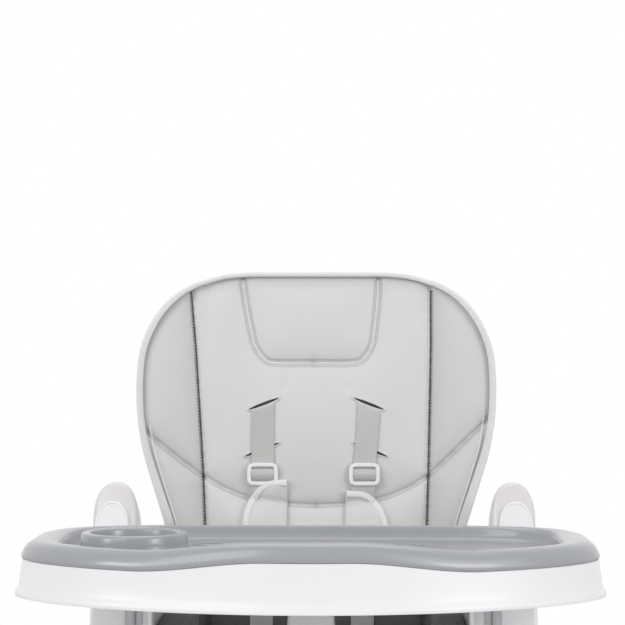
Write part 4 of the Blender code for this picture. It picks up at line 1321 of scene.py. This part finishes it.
    def add_shoulder_pad(self, wardrobe: Wardrobe, side: str, sign: float) -> None:
        """Adds a shoulder pad: a straight inner edge, a bound curved outer edge and a soft crown.

        Args:
            wardrobe: the finishes.
            side: "L" or "R".
            sign: -1 on the left, 1 on the right.
        """
        top = {"L": 0.2472, "R": 0.2352}[side] - self.bottom
        low = 0.110 - self.bottom
        rows, columns = 46, 17
        front = []
        for row in range(rows):
            height = low + (top - low) * math.sin(row / (rows - 1) * math.pi / 2)
            rest = min(1.0, (top - height) / 0.052)
            drift = 0.0 if sign < 0 else 0.009 * (1.0 - (top - height) / (top - low)) - 0.006
            inner = 0.0318 + drift * 0.5
            outer = inner + 0.012 + 0.036 * math.sqrt(1.0 - (1.0 - rest) ** 2)
            outer -= 0.004 * max(0.0, 1.0 - (height - low) / 0.030) ** 2
            front.append([(sign * x, height) for x in np.linspace(inner, outer, columns)])
        crowned = []
        for row, line in enumerate(front):
            end = 1 - math.exp(-min(row, rows - 1 - row) / 4.0)
            rims = [1 - math.exp(-min(column, columns - 1 - column) / 4.0) for column in range(columns)]
            crowned.append([self.on_face(x, height, 0.0050 + 0.0062 * rim * end)
                            for (x, height), rim in zip(line, rims)])
        form, (grid, back), (edge, _) = pillow(
            [crowned, [[self.on_face(x, height, 0.0018) for x, height in line] for line in front]])
        pins = [vert.index for line in back for vert in line] + [vert.index for vert in edge]
        bound = [(0, c) for c in range(2, columns)] + [(r, columns - 1) for r in range(1, rows)]
        bound += [(rows - 1, c) for c in range(columns - 2, -1, -1)]
        edge_points = [(grid[r][c].co + back[r][c].co) / 2 for r, c in bound]
        pad = to_object(f"shoulder_cushion_{side}", form, None)
        inflate(pad, 2.5, 0.0022, pins)
        subdivide(pad, 1)
        settle(pad, None)
        wardrobe.add(pad, "backrest", "pad_leather", ["shoulder_pad_" + side])
        route = smooth_path([tuple(point) for point in edge_points[::3]] + [tuple(edge_points[-1])], 0.0025)
        centre = sum(route, Vector()) / len(route)
        tape = self.laid(f"shoulder_binding_{side}", [p + (centre - p).normalized() * 0.0030 for p in route],
                         oval(0.0084, 0.0112, 16, 0.55))
        wardrobe.add(tape, "backrest", "white_tape")

    def build(self, wardrobe: Wardrobe, stitches: StitchTree) -> None:
        """Builds and dresses the whole back.

        Args:
            wardrobe: the finishes.
            stitches: the stitch tree.
        """
        cushion = self.cushion()
        wardrobe.add(cushion, "backrest", "pad_leather", ["back_pad"])
        self.paint_wing_and_foot_shade(cushion, wardrobe)
        self.measure(cushion)
        wardrobe.add(self.binding(), "backrest", "binding")
        wardrobe.add(self.piping(), "backrest", "binding")
        for side in SIDES:
            wardrobe.add(self.edge_cord(side), "backrest", "white_tape")
        thread = wardrobe.materials["stitching"]
        rows = (self.rows_on_face(self.head_half, 0.0040, 0.0003)
                + self.rows_on_face(self.chevron_half, 0.0024, 0.0003))
        sewn = stitches.sew("back_stitches", rows, thread, 0.0030, 0.0017, 0.00042)
        wardrobe.add(sewn, "backrest", "stitching")
        self.add_wing_seams(wardrobe)
        self.add_slits(wardrobe)
        self.add_harness(wardrobe)

    def add_wing_seams(self, wardrobe: Wardrobe) -> None:
        """Lays a dark cord of painted shade in each wing's seam and a zig-zag thread over it.

        Args:
            wardrobe: the finishes.
        """
        for side, sign in SIDES.items():
            line = [p for p in self.wing_half if self.inside(p.x, p.y, 0.006)]
            cord = [self.on_face(*self.sewn_at(sign * p.x, p.y), 0.0001) for p in line]
            # The dark cord in the seam's valley is painted shade of the fold.
            seam = self.laid("wing_seam_shade_" + side, cord, oval(0.0020, 0.0016, 8))
            wardrobe.add(seam, "backrest", "seam_thread")
            fine = smooth_path([tuple(p) for p in line], 0.0018)
            zigzag = [self.on_face(*self.sewn_at(sign * (p.x + (0.0021 if i % 2 else -0.0006)), p.y), 0.0007)
                      for i, p in enumerate(fine)]
            thread = self.laid("wing_zigzag_" + side, zigzag, oval(0.0010, 0.0008, 6))
            wardrobe.add(thread, "backrest", "seam_thread")

    def paint_wing_and_foot_shade(self, cushion: Piece, wardrobe: Wardrobe) -> None:
        """Paints shade on the wings as a slightly darker colour of the pad, and gives the back's foot the
        seat's dark cloth, which is partly painted shade under the tray.

        Args:
            cushion: the pad.
            wardrobe: the finishes.
        """
        cushion.data.materials.append(wardrobe.materials["pad_wing"])
        cushion.data.materials.append(wardrobe.materials["seat_cloth_and_shade"])
        line = list(reversed(self.wing_half))
        heights, widths = [p.y for p in line], [p.x for p in line]
        coords = self.flat_of(np.array([tuple(face.center) for face in cushion.data.polygons]))
        limit = np.interp(coords[:, 1], heights, widths)
        for face, place, edge in zip(cushion.data.polygons, coords, limit):
            # wing marks the wing faces, which take the darker colour of painted shade.
            wing = abs(place[0] - self.sway(place[1])) > edge
            # Faces at the back's foot take the dark seat cloth, partly painted shade under the tray.
            face.material_index = 2 if place[1] < self.dark_foot_top else int(wing)


# ---- the tray

@dataclass
class Tray:
    """The tray base and its glossy insert, with the arched front wall, the cup ring and the dimples."""

    half_width: float = 0.290
    front: float = 0.400
    rear: float = -0.080
    widest: float = -0.235
    bottom: float = 0.727
    split: float = 0.763
    rim: float = 0.781
    floor: float = 0.7666
    flare: float = 0.007
    front_power: float = 1.85
    rear_power: float = 5.0
    hump: float = 0.0108
    steps: int = 220

    def plan(self, turn: float, half_width: float, front: float, rear: float) -> Flat:
        """A point of a tray-shaped outline.

        Args:
            turn: the angle round the outline.
            half_width: half of its width.
            front: its foremost y.
            rear: its rearmost y.

        Returns:
            The point's x and y.
        """
        across, along = math.cos(turn), math.sin(turn)
        power = self.front_power if along < 0 else self.rear_power
        reach = self.widest - front if along < 0 else rear - self.widest
        return (half_width * math.copysign(abs(across) ** (2 / power), across),
                self.widest + reach * math.copysign(abs(along) ** (2 / power), along))

    def __post_init__(self) -> None:
        """Picks the angles that space the outline's points evenly."""
        dense = np.linspace(0.0, 2 * math.pi, 2881)
        table = np.array([self.plan(turn, self.half_width, -self.front, self.rear) for turn in dense])
        run = np.concatenate([[0.0], np.cumsum(np.hypot(*np.diff(table, axis=0).T))])
        self.turns = np.interp(np.linspace(0.0, run[-1], self.steps + 1)[:-1], run, dense)

    def outer(self, inset: float) -> list[Flat]:
        """The tray's outline, drawn in by an inset."""
        return [self.plan(turn, self.half_width - inset, -self.front + inset, self.rear - inset)
                for turn in self.turns]

    def across(self, share: float, inset: float = 0.0) -> list[Flat]:
        """An outline between the rim's outer edge and the recess's edge.

        Args:
            share: 0 at the outer edge and 1 at the recess.
            inset: a further inset.

        Returns:
            The outline's points.
        """
        inner = [self.plan(turn, 0.245 - inset, -0.368 + inset, -0.0945 - inset) for turn in self.turns]
        edge = self.outer(self.flare - 0.0004 + inset)
        return [(a[0] + (b[0] - a[0]) * share, a[1] + (b[1] - a[1]) * share) for a, b in zip(edge, inner)]

    def wave(self, x: float, y: float) -> float:
        """How far the front wall rises in its middle."""
        share = min(1.0, max(0.0, (0.165 - abs(x)) / 0.125))
        near = min(1.0, max(0.0, (self.widest - y) / 0.030))
        return self.hump * near * share * share * (3.0 - 2.0 * share)

    def ring(self, outline: Outline, height: float, waved: bool = True) -> list[Point]:
        """Lifts an outline to a height, with or without the wave of the front wall."""
        return [(x, y, height + (self.wave(x, y) if waved else 0.0)) for x, y in outline]

    def base(self) -> Piece:
        """The white skirt and deck, with a notch for each arm."""
        lip, rim, deck = self.flare, self.split, 0.7638
        sections = [(lip + 0.018, deck - 0.003, False), (lip + 0.005, deck - 0.003, False),
                    (lip + 0.0032, deck - 0.007, False), (0.0032, self.bottom + 0.003, False),
                    (0.0028, self.bottom + 0.0004, False), (0.0006, self.bottom, False),
                    (0.0000, self.bottom + 0.0008, False), (0.0002, self.bottom + 0.004, False),
                    (lip * 0.40, self.bottom + 0.0075, False), (lip * 0.62, self.bottom + 0.012, False),
                    (lip * 0.78, self.bottom + 0.021, True),
                    (lip, rim - 0.004, True), (lip + 0.0003, rim - 0.0006, True), (lip + 0.0012, rim, True),
                    (lip + 0.0030, rim, True), (lip + 0.0060, deck - 0.0004, False),
                    (lip + 0.012, deck, False)]
        piece = loft("tray_skirt", [self.ring(self.outer(inset), height, waved)
                                    for inset, height, waved in sections])
        for side in SIDES:
            low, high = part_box("tray_arm_" + side)
            form = bmesh.new()
            bmesh.ops.create_cube(form, size=1.0)
            for vert in form.verts:
                vert.co = Vector(((low.x + high.x) / 2 + vert.co.x * (high.x - low.x + 0.006),
                                  -0.055 + vert.co.y * 0.110, 0.7405 + vert.co.z * 0.0397))
            cutter = to_object("arm_notch_" + side, form)
            cut = piece.modifiers.new("notch", "BOOLEAN")
            cut.object = cutter
            cut.solver = "EXACT"
            settle(piece)
            bpy.data.objects.remove(cutter)
        return piece

    def insert(self) -> Piece:
        """The glossy grey insert: a rolled rim, a swept inner wall and a flat floor."""
        floor, crest, sits = self.floor, self.rim, self.split + 0.0003
        under = [self.ring(self.across(1.0, 0.010), floor - 0.0025, False),
                 self.ring(self.across(0.94), floor - 0.0015, False)]
        roll = [(0.86, crest - 0.0080), (0.50, crest - 0.0025), (0.12, crest - 0.0080), (0.10, sits + 0.0002),
                (0.02, sits), (0.0, sits + 0.0012), (0.0, sits + 0.0034), (0.035, sits + 0.0065),
                (0.085, sits + 0.0100), (0.16, crest - 0.0042), (0.28, crest - 0.0014), (0.46, crest),
                (0.66, crest), (0.82, crest - 0.0010), (0.93, crest - 0.0032), (0.985, crest - 0.0065)]
        bowl = [(0.0012, floor + 0.0030), (0.0034, floor + 0.0008), (0.0080, floor)]
        rings = under + [self.ring(self.across(share), height) for share, height in roll]
        rings += [self.ring(self.across(1.0, inset), height, False) for inset, height in bowl]
        return loft("tray_insert_shell", rings, angle=60.0)

    def cup_ring(self) -> Piece:
        """The raised ring of the cup place."""
        profile = [(0.0420, self.floor - 0.001), (0.0560, self.floor - 0.001), (0.0535, self.floor + 0.0012),
                   (0.0526, 0.7800), (0.0520, 0.7862), (0.0512, 0.7882), (0.0495, 0.7890), (0.0445, 0.7890),
                   (0.0428, 0.7882), (0.0421, 0.7866), (0.0418, 0.7750)]
        rings = []
        for step in range(96):
            turn = 2 * math.pi * step / 96
            rings.append([(-0.171 + radius * math.cos(turn), -0.250 + radius * math.sin(turn), height)
                          for radius, height in profile])
        return loft("cup_ring", rings, closed=True, angle=60.0)

    def build(self, wardrobe: Wardrobe) -> None:
        """Builds and dresses the tray.

        Args:
            wardrobe: the finishes.
        """
        wardrobe.add(self.base(), "tray", "white_moulding", ["tray_base"])
        wardrobe.add(self.insert(), "tray_insert", "grey_gloss", ["tray_insert"])
        wardrobe.add(self.cup_ring(), "tray_insert", "grey_gloss")
        for number, x in enumerate((-0.105, 0.097)):
            loop = []
            for step in range(40):
                turn = 2 * math.pi * step / 40
                loop.append(Vector((x + 0.016 * math.cos(turn), -0.150 + 0.010 * math.sin(turn),
                                    self.floor + 0.0004)))
            bead = swept(f"insert_dimple_{number}", loop, [Vector((0.0, 0.0, 1.0))] * 40,
                         oval(0.0022, 0.0018, 8), closed=True)
            wardrobe.add(bead, "tray_insert", "grey_gloss")


# ---- the seat and leg rest

@dataclass
class Seat:
    """The seat pad, crotch post and waist straps."""

    floor: float = 0.5826

    def trough_pad(self) -> Piece:
        """The seat pad that runs up both sides, crowned, with its edges rolled."""
        low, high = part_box("seat_pad")
        half, bottom, top = high.x, low.z, high.z
        thick, corner, rows, columns = 0.0300, 0.0400, 34, 70
        path = [(-half, top), (-half, bottom + corner)]
        for step in range(1, 8):
            turn = math.pi / 2 * step / 8
            path.append((-half + corner * (1 - math.cos(turn)), bottom + corner * (1 - math.sin(turn))))
        path += [(-half + corner, bottom), (0.0, bottom)]
        path = smooth_path([(x, z, 0.0) for x, z in path + [(-x, z) for x, z in reversed(path[:-1])]], 0.001)
        picks = [path[round((len(path) - 1) * c / (columns - 1))] for c in range(columns)]
        outer, inner = [], []
        for c, point in enumerate(picks):
            ahead = (picks[min(c + 1, columns - 1)] - picks[max(c - 1, 0)]).normalized()
            inward = Vector((-ahead.y, ahead.x))
            outer.append(Vector((point.x, point.y)))
            inner.append(Vector((point.x, point.y)) + inward * thick)
        lines = [high.y - 0.002 + (low.y - high.y + 0.004) * row / (rows - 1) for row in range(rows)]
        form, grids, rims = pillow([[[(p.x, y, p.y) for p in sheet] for y in lines]
                                    for sheet in (outer, inner)])
        pins = [vert.index for line in grids[0] + [rims[1]] for vert in line]
        pins += [line[c].index for line in grids[1] for c in (11, 12, columns - 12, columns - 13)]
        piece = to_object("seat_cushion", form, None)
        inflate(piece, 2.0, 0.0025, pins)
        subdivide(piece, 1)
        return settle(piece, None)

    def front_piping(self) -> Piece:
        """The pale cord round the front edge of the seat pad, from one side over the floor to the other."""
        low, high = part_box("seat_pad")
        half, inset, corner = high.x - 0.0015, low.z + 0.030, 0.030
        path = [(-half, high.z - 0.002), (-half + 0.004, high.z - 0.030), (-half + 0.008, inset + corner)]
        for step in range(1, 6):
            turn = math.pi / 2 * step / 6
            path.append((-half + 0.008 + (corner + 0.014) * (1 - math.cos(turn)),
                         inset + corner * (1 - math.sin(turn))))
        path.append((-0.070, inset + 0.0012))
        path += [(-x, z) for x, z in reversed(path)]
        route = smooth_path([(x, low.y + 0.0005, z) for x, z in path], 0.003)
        return swept("seat_piping", route, [Vector((0.0, -1.0, 0.0))] * len(route), oval(0.0044, 0.0044, 10))

    def crotch_post(self) -> Piece:
        """The stuffed post between the child's legs, sewn down at its foot."""
        low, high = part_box("crotch_post")
        high.z += 0.009
        return stuffed("crotch_cushion", low, high, 0.0022, lambda point: point.z < low.z + 0.002)

    def waist_strap(self, side: str) -> Piece:
        """A waist strap from the buckle, over the pad and into its seam at the side."""
        sign = SIDES[side]
        z = self.floor + 0.0052
        route = smooth_path([(sign * 0.022, -0.116, z), (sign * 0.050, -0.110, z + 0.0014),
                             (sign * 0.085, -0.094, z + 0.0010), (sign * 0.108, -0.080, z + 0.0016),
                             (sign * 0.126, -0.069, z + 0.0075)], 0.003)
        outs = [Vector((-sign * 0.02, 0.0, 1.0)).normalized()] * len(route)
        return swept("waist_webbing_" + side, route, outs, oval(0.0255, 0.0016, 20, 0.35), angle=35.0)

    def build(self, wardrobe: Wardrobe) -> None:
        """Builds and dresses the soft pieces of the seat.

        Args:
            wardrobe: the finishes.
        """
        cushion = self.trough_pad()
        # The seat pad's colour is dark cloth with the tray's shade painted into it.
        wardrobe.add(cushion, "seat_unit", "seat_cloth_and_shade", ["seat_pad"])
        wardrobe.add(self.front_piping(), "seat_unit", "binding")
        post = self.crotch_post()
        wardrobe.add(post, "seat_unit", "pad_leather", ["crotch_post"])
        for side in SIDES:
            wardrobe.add(self.waist_strap(side), "seat_unit", "grey_webbing", ["waist_strap_" + side])


@dataclass
class LegRest:
    """The calf pad: a thin cushion, taped round its edge and stitched inside it, leaning with its board."""

    axis: Point = (0.0, -0.222, 0.536)
    lean: float = math.radians(-10.0)
    half_width: float = 0.1000
    top: float = -0.0220
    bottom: float = -0.1600
    front: float = -0.0192
    back: float = -0.0042

    def turned(self, piece: Piece) -> Piece:
        """Turns a piece from the upright board's own coordinates into its place.

        Args:
            piece: the piece.

        Returns:
            The same piece.
        """
        piece.data.transform(Matrix.Translation(self.axis) @ Matrix.Rotation(self.lean, 4, "X"))
        return piece

    def loop(self, inset: float, depth: float, corner: float = 0.016) -> list[Vector]:
        """The pad's outline, evenly spaced.

        Args:
            inset: how far it lies inside the pad's edge.
            depth: its distance along the board's own Y.
            corner: the radius of its corners.

        Returns:
            The points of the closed loop.
        """
        wide, low, high = self.half_width - inset, self.bottom + inset, self.top - inset
        corners = ((wide, high, 0), (-wide, high, 1), (-wide, low, 2), (wide, low, 3))
        points = []
        for x, z, quarter in corners:
            for step in range(7):
                turn = math.pi / 2 * (quarter + step / 6)
                points.append((x + corner * (math.cos(turn) - math.copysign(1.0, x)),
                               z + corner * (math.sin(turn) - (1.0 if quarter < 2 else -1.0))))
        return [Vector((x, depth, z)) for x, z in evened(points, 0.004)]

    def build(self, wardrobe: Wardrobe, stitches: StitchTree) -> None:
        """Builds and dresses the pad.

        Args:
            wardrobe: the finishes.
            stitches: the tree that lays threads.
        """
        low = Vector((-self.half_width, self.front + 0.0022, self.bottom))
        high = Vector((self.half_width, self.back, self.top))
        pad = stuffed("calf_cushion", low, high, 0.0020, lambda point: point.y > high.y - 0.004)
        surface = BVHTree.FromPolygons([vertex.co for vertex in pad.data.vertices],
                                       [tuple(face.vertices) for face in pad.data.polygons])
        seams = []
        for inset in (0.0140, 0.0165):
            row = []
            for point in self.loop(inset, self.front - 0.02, 0.010):
                hit = surface.ray_cast(point, Vector((0.0, 1.0, 0.0)))[0]
                row.append(hit + Vector((0.0, -0.0001, 0.0)))
            seams.append(row + row[:1])
        middle = (self.front + self.back) / 2 + 0.0012
        route = self.loop(0.0007, middle)
        centre = Vector((0.0, middle, (self.top + self.bottom) / 2))
        tape = swept("calf_binding", route, [(point - centre).normalized() for point in route],
                     oval(0.0130, 0.0034, 16, 0.7), closed=True)
        threads = stitches.sew("calf_stitching", seams, wardrobe.materials["stitching"])
        wardrobe.add(self.turned(pad), "legrest", "pad_leather", ["calf_pad"])
        wardrobe.add(self.turned(tape), "legrest", "binding")
        wardrobe.add(self.turned(threads), "legrest", "stitching")


# ---- the posts' tops

@dataclass
class PostTop:
    """A post's rounded cap and the long cover plate on its front."""

    lean: float = math.radians(21.0)
    top: float = 0.800

    def world(self, x: float, y: float, z: float) -> Point:
        """Turns the leaning post's own coordinates into the frame's."""
        cos, sin = math.cos(self.lean), math.sin(self.lean)
        return x, y * cos + z * sin, self.top - y * sin + z * cos

    def slab(self, name: str, middle: float, half: float, low: float, crown: float, rise: float,
             sections: Outline) -> Piece:
        """Builds a thick plate with an arched top and rounded edges.

        Args:
            name: the piece's name.
            middle: the x of its middle.
            half: half of its width.
            low: its lower end.
            crown: its upper end.
            rise: the height of the arch.
            sections: (inset, depth) from its front to its back.

        Returns:
            The plate.
        """
        rings = []
        for inset, depth in sections:
            wide = half - inset
            ring = [(middle - wide + 2 * wide * step / 6, low + inset) for step in range(7)]
            ring += [(middle + wide, low + (crown - rise - low) * step / 6) for step in range(1, 6)]
            for step in range(49):
                turn = math.pi * step / 48
                across, up = math.cos(turn), math.sin(turn)
                ring.append((middle + wide * math.copysign(abs(across) ** 0.87, across),
                             crown - rise + (rise - inset) * up ** 0.87))
            ring += [(middle - wide, low + (crown - rise - low) * step / 6) for step in range(5, 0, -1)]
            rings.append([self.world(x, depth, z) for x, z in ring])
        return loft(name, rings, angle=32.0)

    def build(self, wardrobe: Wardrobe) -> None:
        """Builds and dresses both posts' caps and covers.

        Args:
            wardrobe: the finishes.
        """
        for side, sign in SIDES.items():
            round_edge = [(0.0075, -0.0279), (0.0050, -0.0277), (0.0030, -0.0270), (0.0014, -0.0256),
                          (0.0004, -0.0232), (0.0, -0.0200)]
            sections = round_edge + [(inset, -depth) for inset, depth in reversed(round_edge)]
            cap = self.slab("post_dome_" + side, sign * 0.2126, 0.0239, -0.060, 0.0135, 0.042, sections)
            wardrobe.add(cap, "front_frame", "warm_moulding", ["post_cap_" + side])
            plate = self.slab("post_plate_" + side, sign * 0.21525, 0.01825, -0.640, -0.0104, 0.030,
                              [(0.0030, -0.0313), (0.0016, -0.0313), (0.0006, -0.0309), (0.0, -0.0300),
                               (0.0, -0.0290), (0.0, -0.0284)])
            wardrobe.add(plate, "front_frame", "white_moulding", ["post_cover_" + side])
            arch = []
            for step in range(-6, 43):
                turn = math.pi * min(max(step, 0), 36) / 36
                drop = 0.008 * (max(0, -step) + max(0, step - 36))
                arch.append(Vector(self.world(
                    sign * 0.21525 + 0.0160 * bulged(math.cos(turn), 0.87), -0.0314,
                    -0.0404 - drop + 0.0278 * math.sin(turn) ** 0.87)))
            bead = swept("plate_bead_" + side, arch, [Vector((0.0, -0.934, 0.358))] * len(arch),
                         oval(0.0016, 0.0011, 8))
            wardrobe.add(bead, "front_frame", "white_moulding")


# ---- the rigid parts

class Rigid:
    """The moulded and metal parts, each with its edges rounded."""

    EDGES = {
        "front_leg": 0.0008, "front_foot": 0.004, "height_rack": 0.0007,
        "hinge_bracket": 0.0012, "hinge_pin": 0.0006, "rear_leg": 0.0010, "wheel_fork": 0.0018,
        "wheel_axle": 0.0005, "brake_pedal": 0.0015, "fold_latch": 0.0015, "seat_carrier": 0.0012,
        "tray_arm": 0.0020, "seat_rail": 0.0012, "height_lever": 0.0018, "front_crossbar": 0.0006,
        "rear_crossbar": 0.0006, "seat_shell": 0.0012, "harness_buckle": 0.0014, "buckle_button": 0.0006,
        "back_shell": 0.0012, "recline_bar": 0.0006, "recline_handle": 0.0020, "calf_board": 0.0012,
        "footrest": 0.0012, "tray_release": 0.0012,
    }

    def build(self, wardrobe: Wardrobe) -> None:
        """Rounds and dresses every node that nothing else stands for.

        Args:
            wardrobe: the finishes.
        """
        bodies = frame["record"]["behaviour"]["bodies"]
        for body, nodes in bodies.items():
            for node in nodes:
                source = frame["nodes"][node]
                if source.hide_render:
                    continue
                family = node[:-2] if node[-2:] in ("_L", "_R") else node
                finish = wardrobe.by_slot[source.data.materials[0].name.split(".")[0]]
                if family == "height_rack":
                    finish = "white_moulding"
                wardrobe.add(refined(node, self.EDGES[family]), body, finish, [node])


@dataclass
class Wheel:
    """A rear wheel: a grooved tyre on a dished hub, both turned about the axle."""

    side: str
    centre: Point

    def lathe(self, name: str, section: Outline) -> Piece:
        """Turns a closed section round the axle.

        Args:
            name: the piece's name.
            section: (radius, distance along the axle) points.

        Returns:
            The turned piece.
        """
        x, y, z = self.centre
        rings = []
        for step in range(64):
            turn = 2 * math.pi * step / 64
            rings.append([(x + along, y + radius * math.cos(turn), z + radius * math.sin(turn))
                          for radius, along in section])
        return loft(name, rings, closed=True, angle=35.0)

    def mirrored(self, half: Outline) -> list[Flat]:
        """Completes a section from its outer half."""
        return list(half) + [(radius, -along) for radius, along in reversed(half)]

    def build(self, wardrobe: Wardrobe) -> None:
        """Builds and dresses the tyre and the hub.

        Args:
            wardrobe: the finishes.
        """
        tyre = [(0.0350, 0.0122), (0.0362, 0.0128), (0.0420, 0.0130), (0.0452, 0.0126), (0.0476, 0.0112),
                (0.0490, 0.0092), (0.0496, 0.0078), (0.0498, 0.0066), (0.0486, 0.0060), (0.0486, 0.0048),
                (0.0499, 0.0042), (0.0500, 0.0022), (0.0500, 0.0006)]
        hub = [(0.0045, 0.0130), (0.0105, 0.0130), (0.0116, 0.0124), (0.0126, 0.0098), (0.0140, 0.0066),
               (0.0155, 0.0060), (0.0295, 0.0060), (0.0308, 0.0066), (0.0318, 0.0094), (0.0328, 0.0106),
               (0.0349, 0.0108)]
        body = "wheel_" + self.side
        wardrobe.add(self.lathe("tyre_" + self.side, self.mirrored(tyre)), body, "sole_rubber",
                     ["rear_wheel_" + self.side])
        wardrobe.add(self.lathe("wheel_hub_" + self.side, self.mirrored(hub)), body, "dark_moulding")


class Hardware:
    """The screws that hold the mouldings and the ribs on the parts that feet press."""

    def __init__(self, wardrobe: Wardrobe) -> None:
        """Args:
            wardrobe: the finishes.
        """
        self.wardrobe = wardrobe
        self.screws = ScrewTree()
        self.ribs = RibTree()

    def touch(self, node: str, start: Point, direction: Point) -> tuple[Vector, Vector]:
        """Finds where a ray meets a finished part.

        Args:
            node: the CAD node that the part stands for.
            start: where the ray starts.
            direction: where it goes.

        Returns:
            The point met and the surface's outward normal there.
        """
        mesh = bpy.data.objects[node + "_moulded"].data
        tree = BVHTree.FromPolygons([vertex.co for vertex in mesh.vertices],
                                    [tuple(face.vertices) for face in mesh.polygons])
        point, normal = tree.ray_cast(Vector(start), Vector(direction))[:2]
        return point, normal

    def fasten(self, body: str, places: Sequence[tuple[str, Point, Point]], radius: float) -> None:
        """Sets one body's screws.

        Args:
            body: the body.
            places: node, start and direction of the ray to each screw's place.
            radius: the heads' radius.
        """
        steel = self.wardrobe.materials["zinc_steel"]
        heads = self.screws.drive(body + "_screws", [self.touch(*place) for place in places], steel, radius)
        self.wardrobe.add(heads, body, "zinc_steel")

    def tread(self, body: str, node: str, middle: float, rows: Flat, count: int, length: float,
              finish: str) -> None:
        """Lays ribs across the top of a part.

        Args:
            body: the body.
            node: the part's CAD node.
            middle: the x of the ribs' middle.
            rows: the y of the first and the last rib.
            count: the number of ribs.
            length: a rib's length.
            finish: the part's finish.
        """
        first, last = (self.touch(node, (middle, y, 1.0), (0.0, 0.0, -1.0))[0] for y in rows)
        row = self.ribs.lay(node + "_ribs", first, last, count, length, 0.0009,
                            self.wardrobe.materials[finish])
        self.wardrobe.add(row, body, finish)

    def build(self) -> None:
        """Builds and dresses every screw and rib."""
        backward, upward = (0.0, -1.0, 0.0), (0.0, 0.0, 1.0)
        places = ((-0.110, 0.70), (0.110, 0.70), (-0.120, 0.94), (0.120, 0.94))
        self.fasten("backrest", [("back_shell", (x, 0.5, z), backward) for x, z in places], 0.0042)
        self.fasten("legrest", [("calf_board", (x, 0.0, z), backward)
                                for x in (-0.085, 0.085) for z in (0.375, 0.505)], 0.0034)
        self.fasten("seat_unit", [("seat_shell", (x, y, 0.2), upward)
                                  for x in (-0.105, 0.105) for y in (-0.16, 0.0)], 0.0038)
        self.tread("footrest", "footrest", 0.0, (-0.272, -0.326), 9, 0.184, "white_moulding")
        for side, sign in SIDES.items():
            self.tread("brake_" + side, "brake_pedal_" + side, sign * 0.2126, (0.3430, 0.3640), 4, 0.025,
                       "grey_gloss")


# ---- the studio

class Studio:
    """The floor, the soft lamps, the white surroundings and the camera."""

    def floor(self) -> None:
        """Adds a plain pale floor under the chair."""
        form = bmesh.new()
        bmesh.ops.create_grid(form, x_segments=1, y_segments=1, size=4.6)
        piece = to_object("studio_floor", form)
        paint = bpy.data.materials.new("floor_paint")
        paint.use_nodes = True
        shader = paint.node_tree.nodes["Principled BSDF"]
        shader.inputs["Base Color"].default_value = (0.86, 0.86, 0.86, 1.0)
        shader.inputs["Roughness"].default_value = 0.7
        piece.data.materials.append(paint)

    def surroundings(self) -> None:
        """Shows white to the camera and to reflections, and lights softly otherwise."""
        world = bpy.data.worlds.new("studio")
        world.use_nodes = True
        bpy.context.scene.world = world
        graph = Graph(world.node_tree)
        world.node_tree.nodes.clear()
        path = graph.add("ShaderNodeLightPath")
        seen = graph.math("MAXIMUM", path.outputs["Is Camera Ray"], path.outputs["Is Transmission Ray"])
        seen = graph.math("MAXIMUM", seen, path.outputs["Is Glossy Ray"])
        white = graph.add("ShaderNodeBackground", {"Color": (1.0, 1.0, 1.0, 1.0), "Strength": 1.0})
        soft = graph.add("ShaderNodeBackground", {"Color": (1.0, 1.0, 1.0, 1.0), "Strength": 0.585})
        mixed = graph.add("ShaderNodeMixShader", {0: seen, 1: soft.outputs[0], 2: white.outputs[0]})
        graph.add("ShaderNodeOutputWorld", {"Surface": mixed.outputs[0]})

    def lamp(self, name: str, place: Point, target: Point, size: float, power: float) -> None:
        """Adds one soft lamp.

        Args:
            name: the lamp's name.
            place: where it stands.
            target: what it points at.
            size: the side of its square.
            power: its power in watts.
        """
        light = bpy.data.lights.new(name, "AREA")
        light.size = size
        light.energy = power
        stand = bpy.data.objects.new(name, light)
        stand.location = place
        stand.rotation_euler = (Vector(target) - Vector(place)).to_track_quat("-Z", "Y").to_euler()
        bpy.context.scene.collection.objects.link(stand)

    def camera(self) -> None:
        """Sets the camera level with the chair's top and in front of it."""
        lens = bpy.data.cameras.new("front_view")
        lens.lens = 133.06
        lens.sensor_width = 36.0
        lens.clip_start = 0.05
        holder = bpy.data.objects.new("front_view", lens)
        holder.location = (0.0455, -2.50, 1.003)
        holder.rotation_euler = (math.pi / 2, 0.0, math.radians(1.09))
        bpy.context.scene.collection.objects.link(holder)
        bpy.context.scene.camera = holder

    def build(self) -> None:
        """Sets the whole studio up."""
        self.floor()
        self.surroundings()
        self.lamp("key", (-1.5, -2.3, 2.4), (0.0, -0.05, 0.75), 1.6, 21.5)
        self.lamp("fill", (1.9, -1.8, 1.6), (0.0, -0.05, 0.75), 1.8, 12.0)
        self.lamp("overhead", (0.0, 0.3, 2.9), (0.0, 0.0, 0.8), 1.6, 12.5)
        self.lamp("left_glint", (-1.64, -1.21, 1.39), (-0.185, -0.37, 0.78), 0.50, 4.8)
        self.lamp("right_glint", (1.40, -1.49, 1.39), (0.155, -0.37, 0.78), 0.56, 5.2)
        self.camera()
        bpy.context.scene.view_settings.view_transform = "Standard"


def main() -> None:
    """Builds the high chair's looks round the frame."""
    logging.basicConfig(level=logging.INFO, format="%(name)s: %(message)s")
    wardrobe = Wardrobe()
    stitches = StitchTree()
    Backrest().build(wardrobe, stitches)
    Tray().build(wardrobe)
    Seat().build(wardrobe)
    LegRest().build(wardrobe, stitches)
    PostTop().build(wardrobe)
    for side, sign in SIDES.items():
        Wheel(side, (sign * 0.2126, 0.350, 0.050)).build(wardrobe)
    Rigid().build(wardrobe)
    Hardware(wardrobe).build()
    Studio().build()


if __name__ == "__main__":
    main()
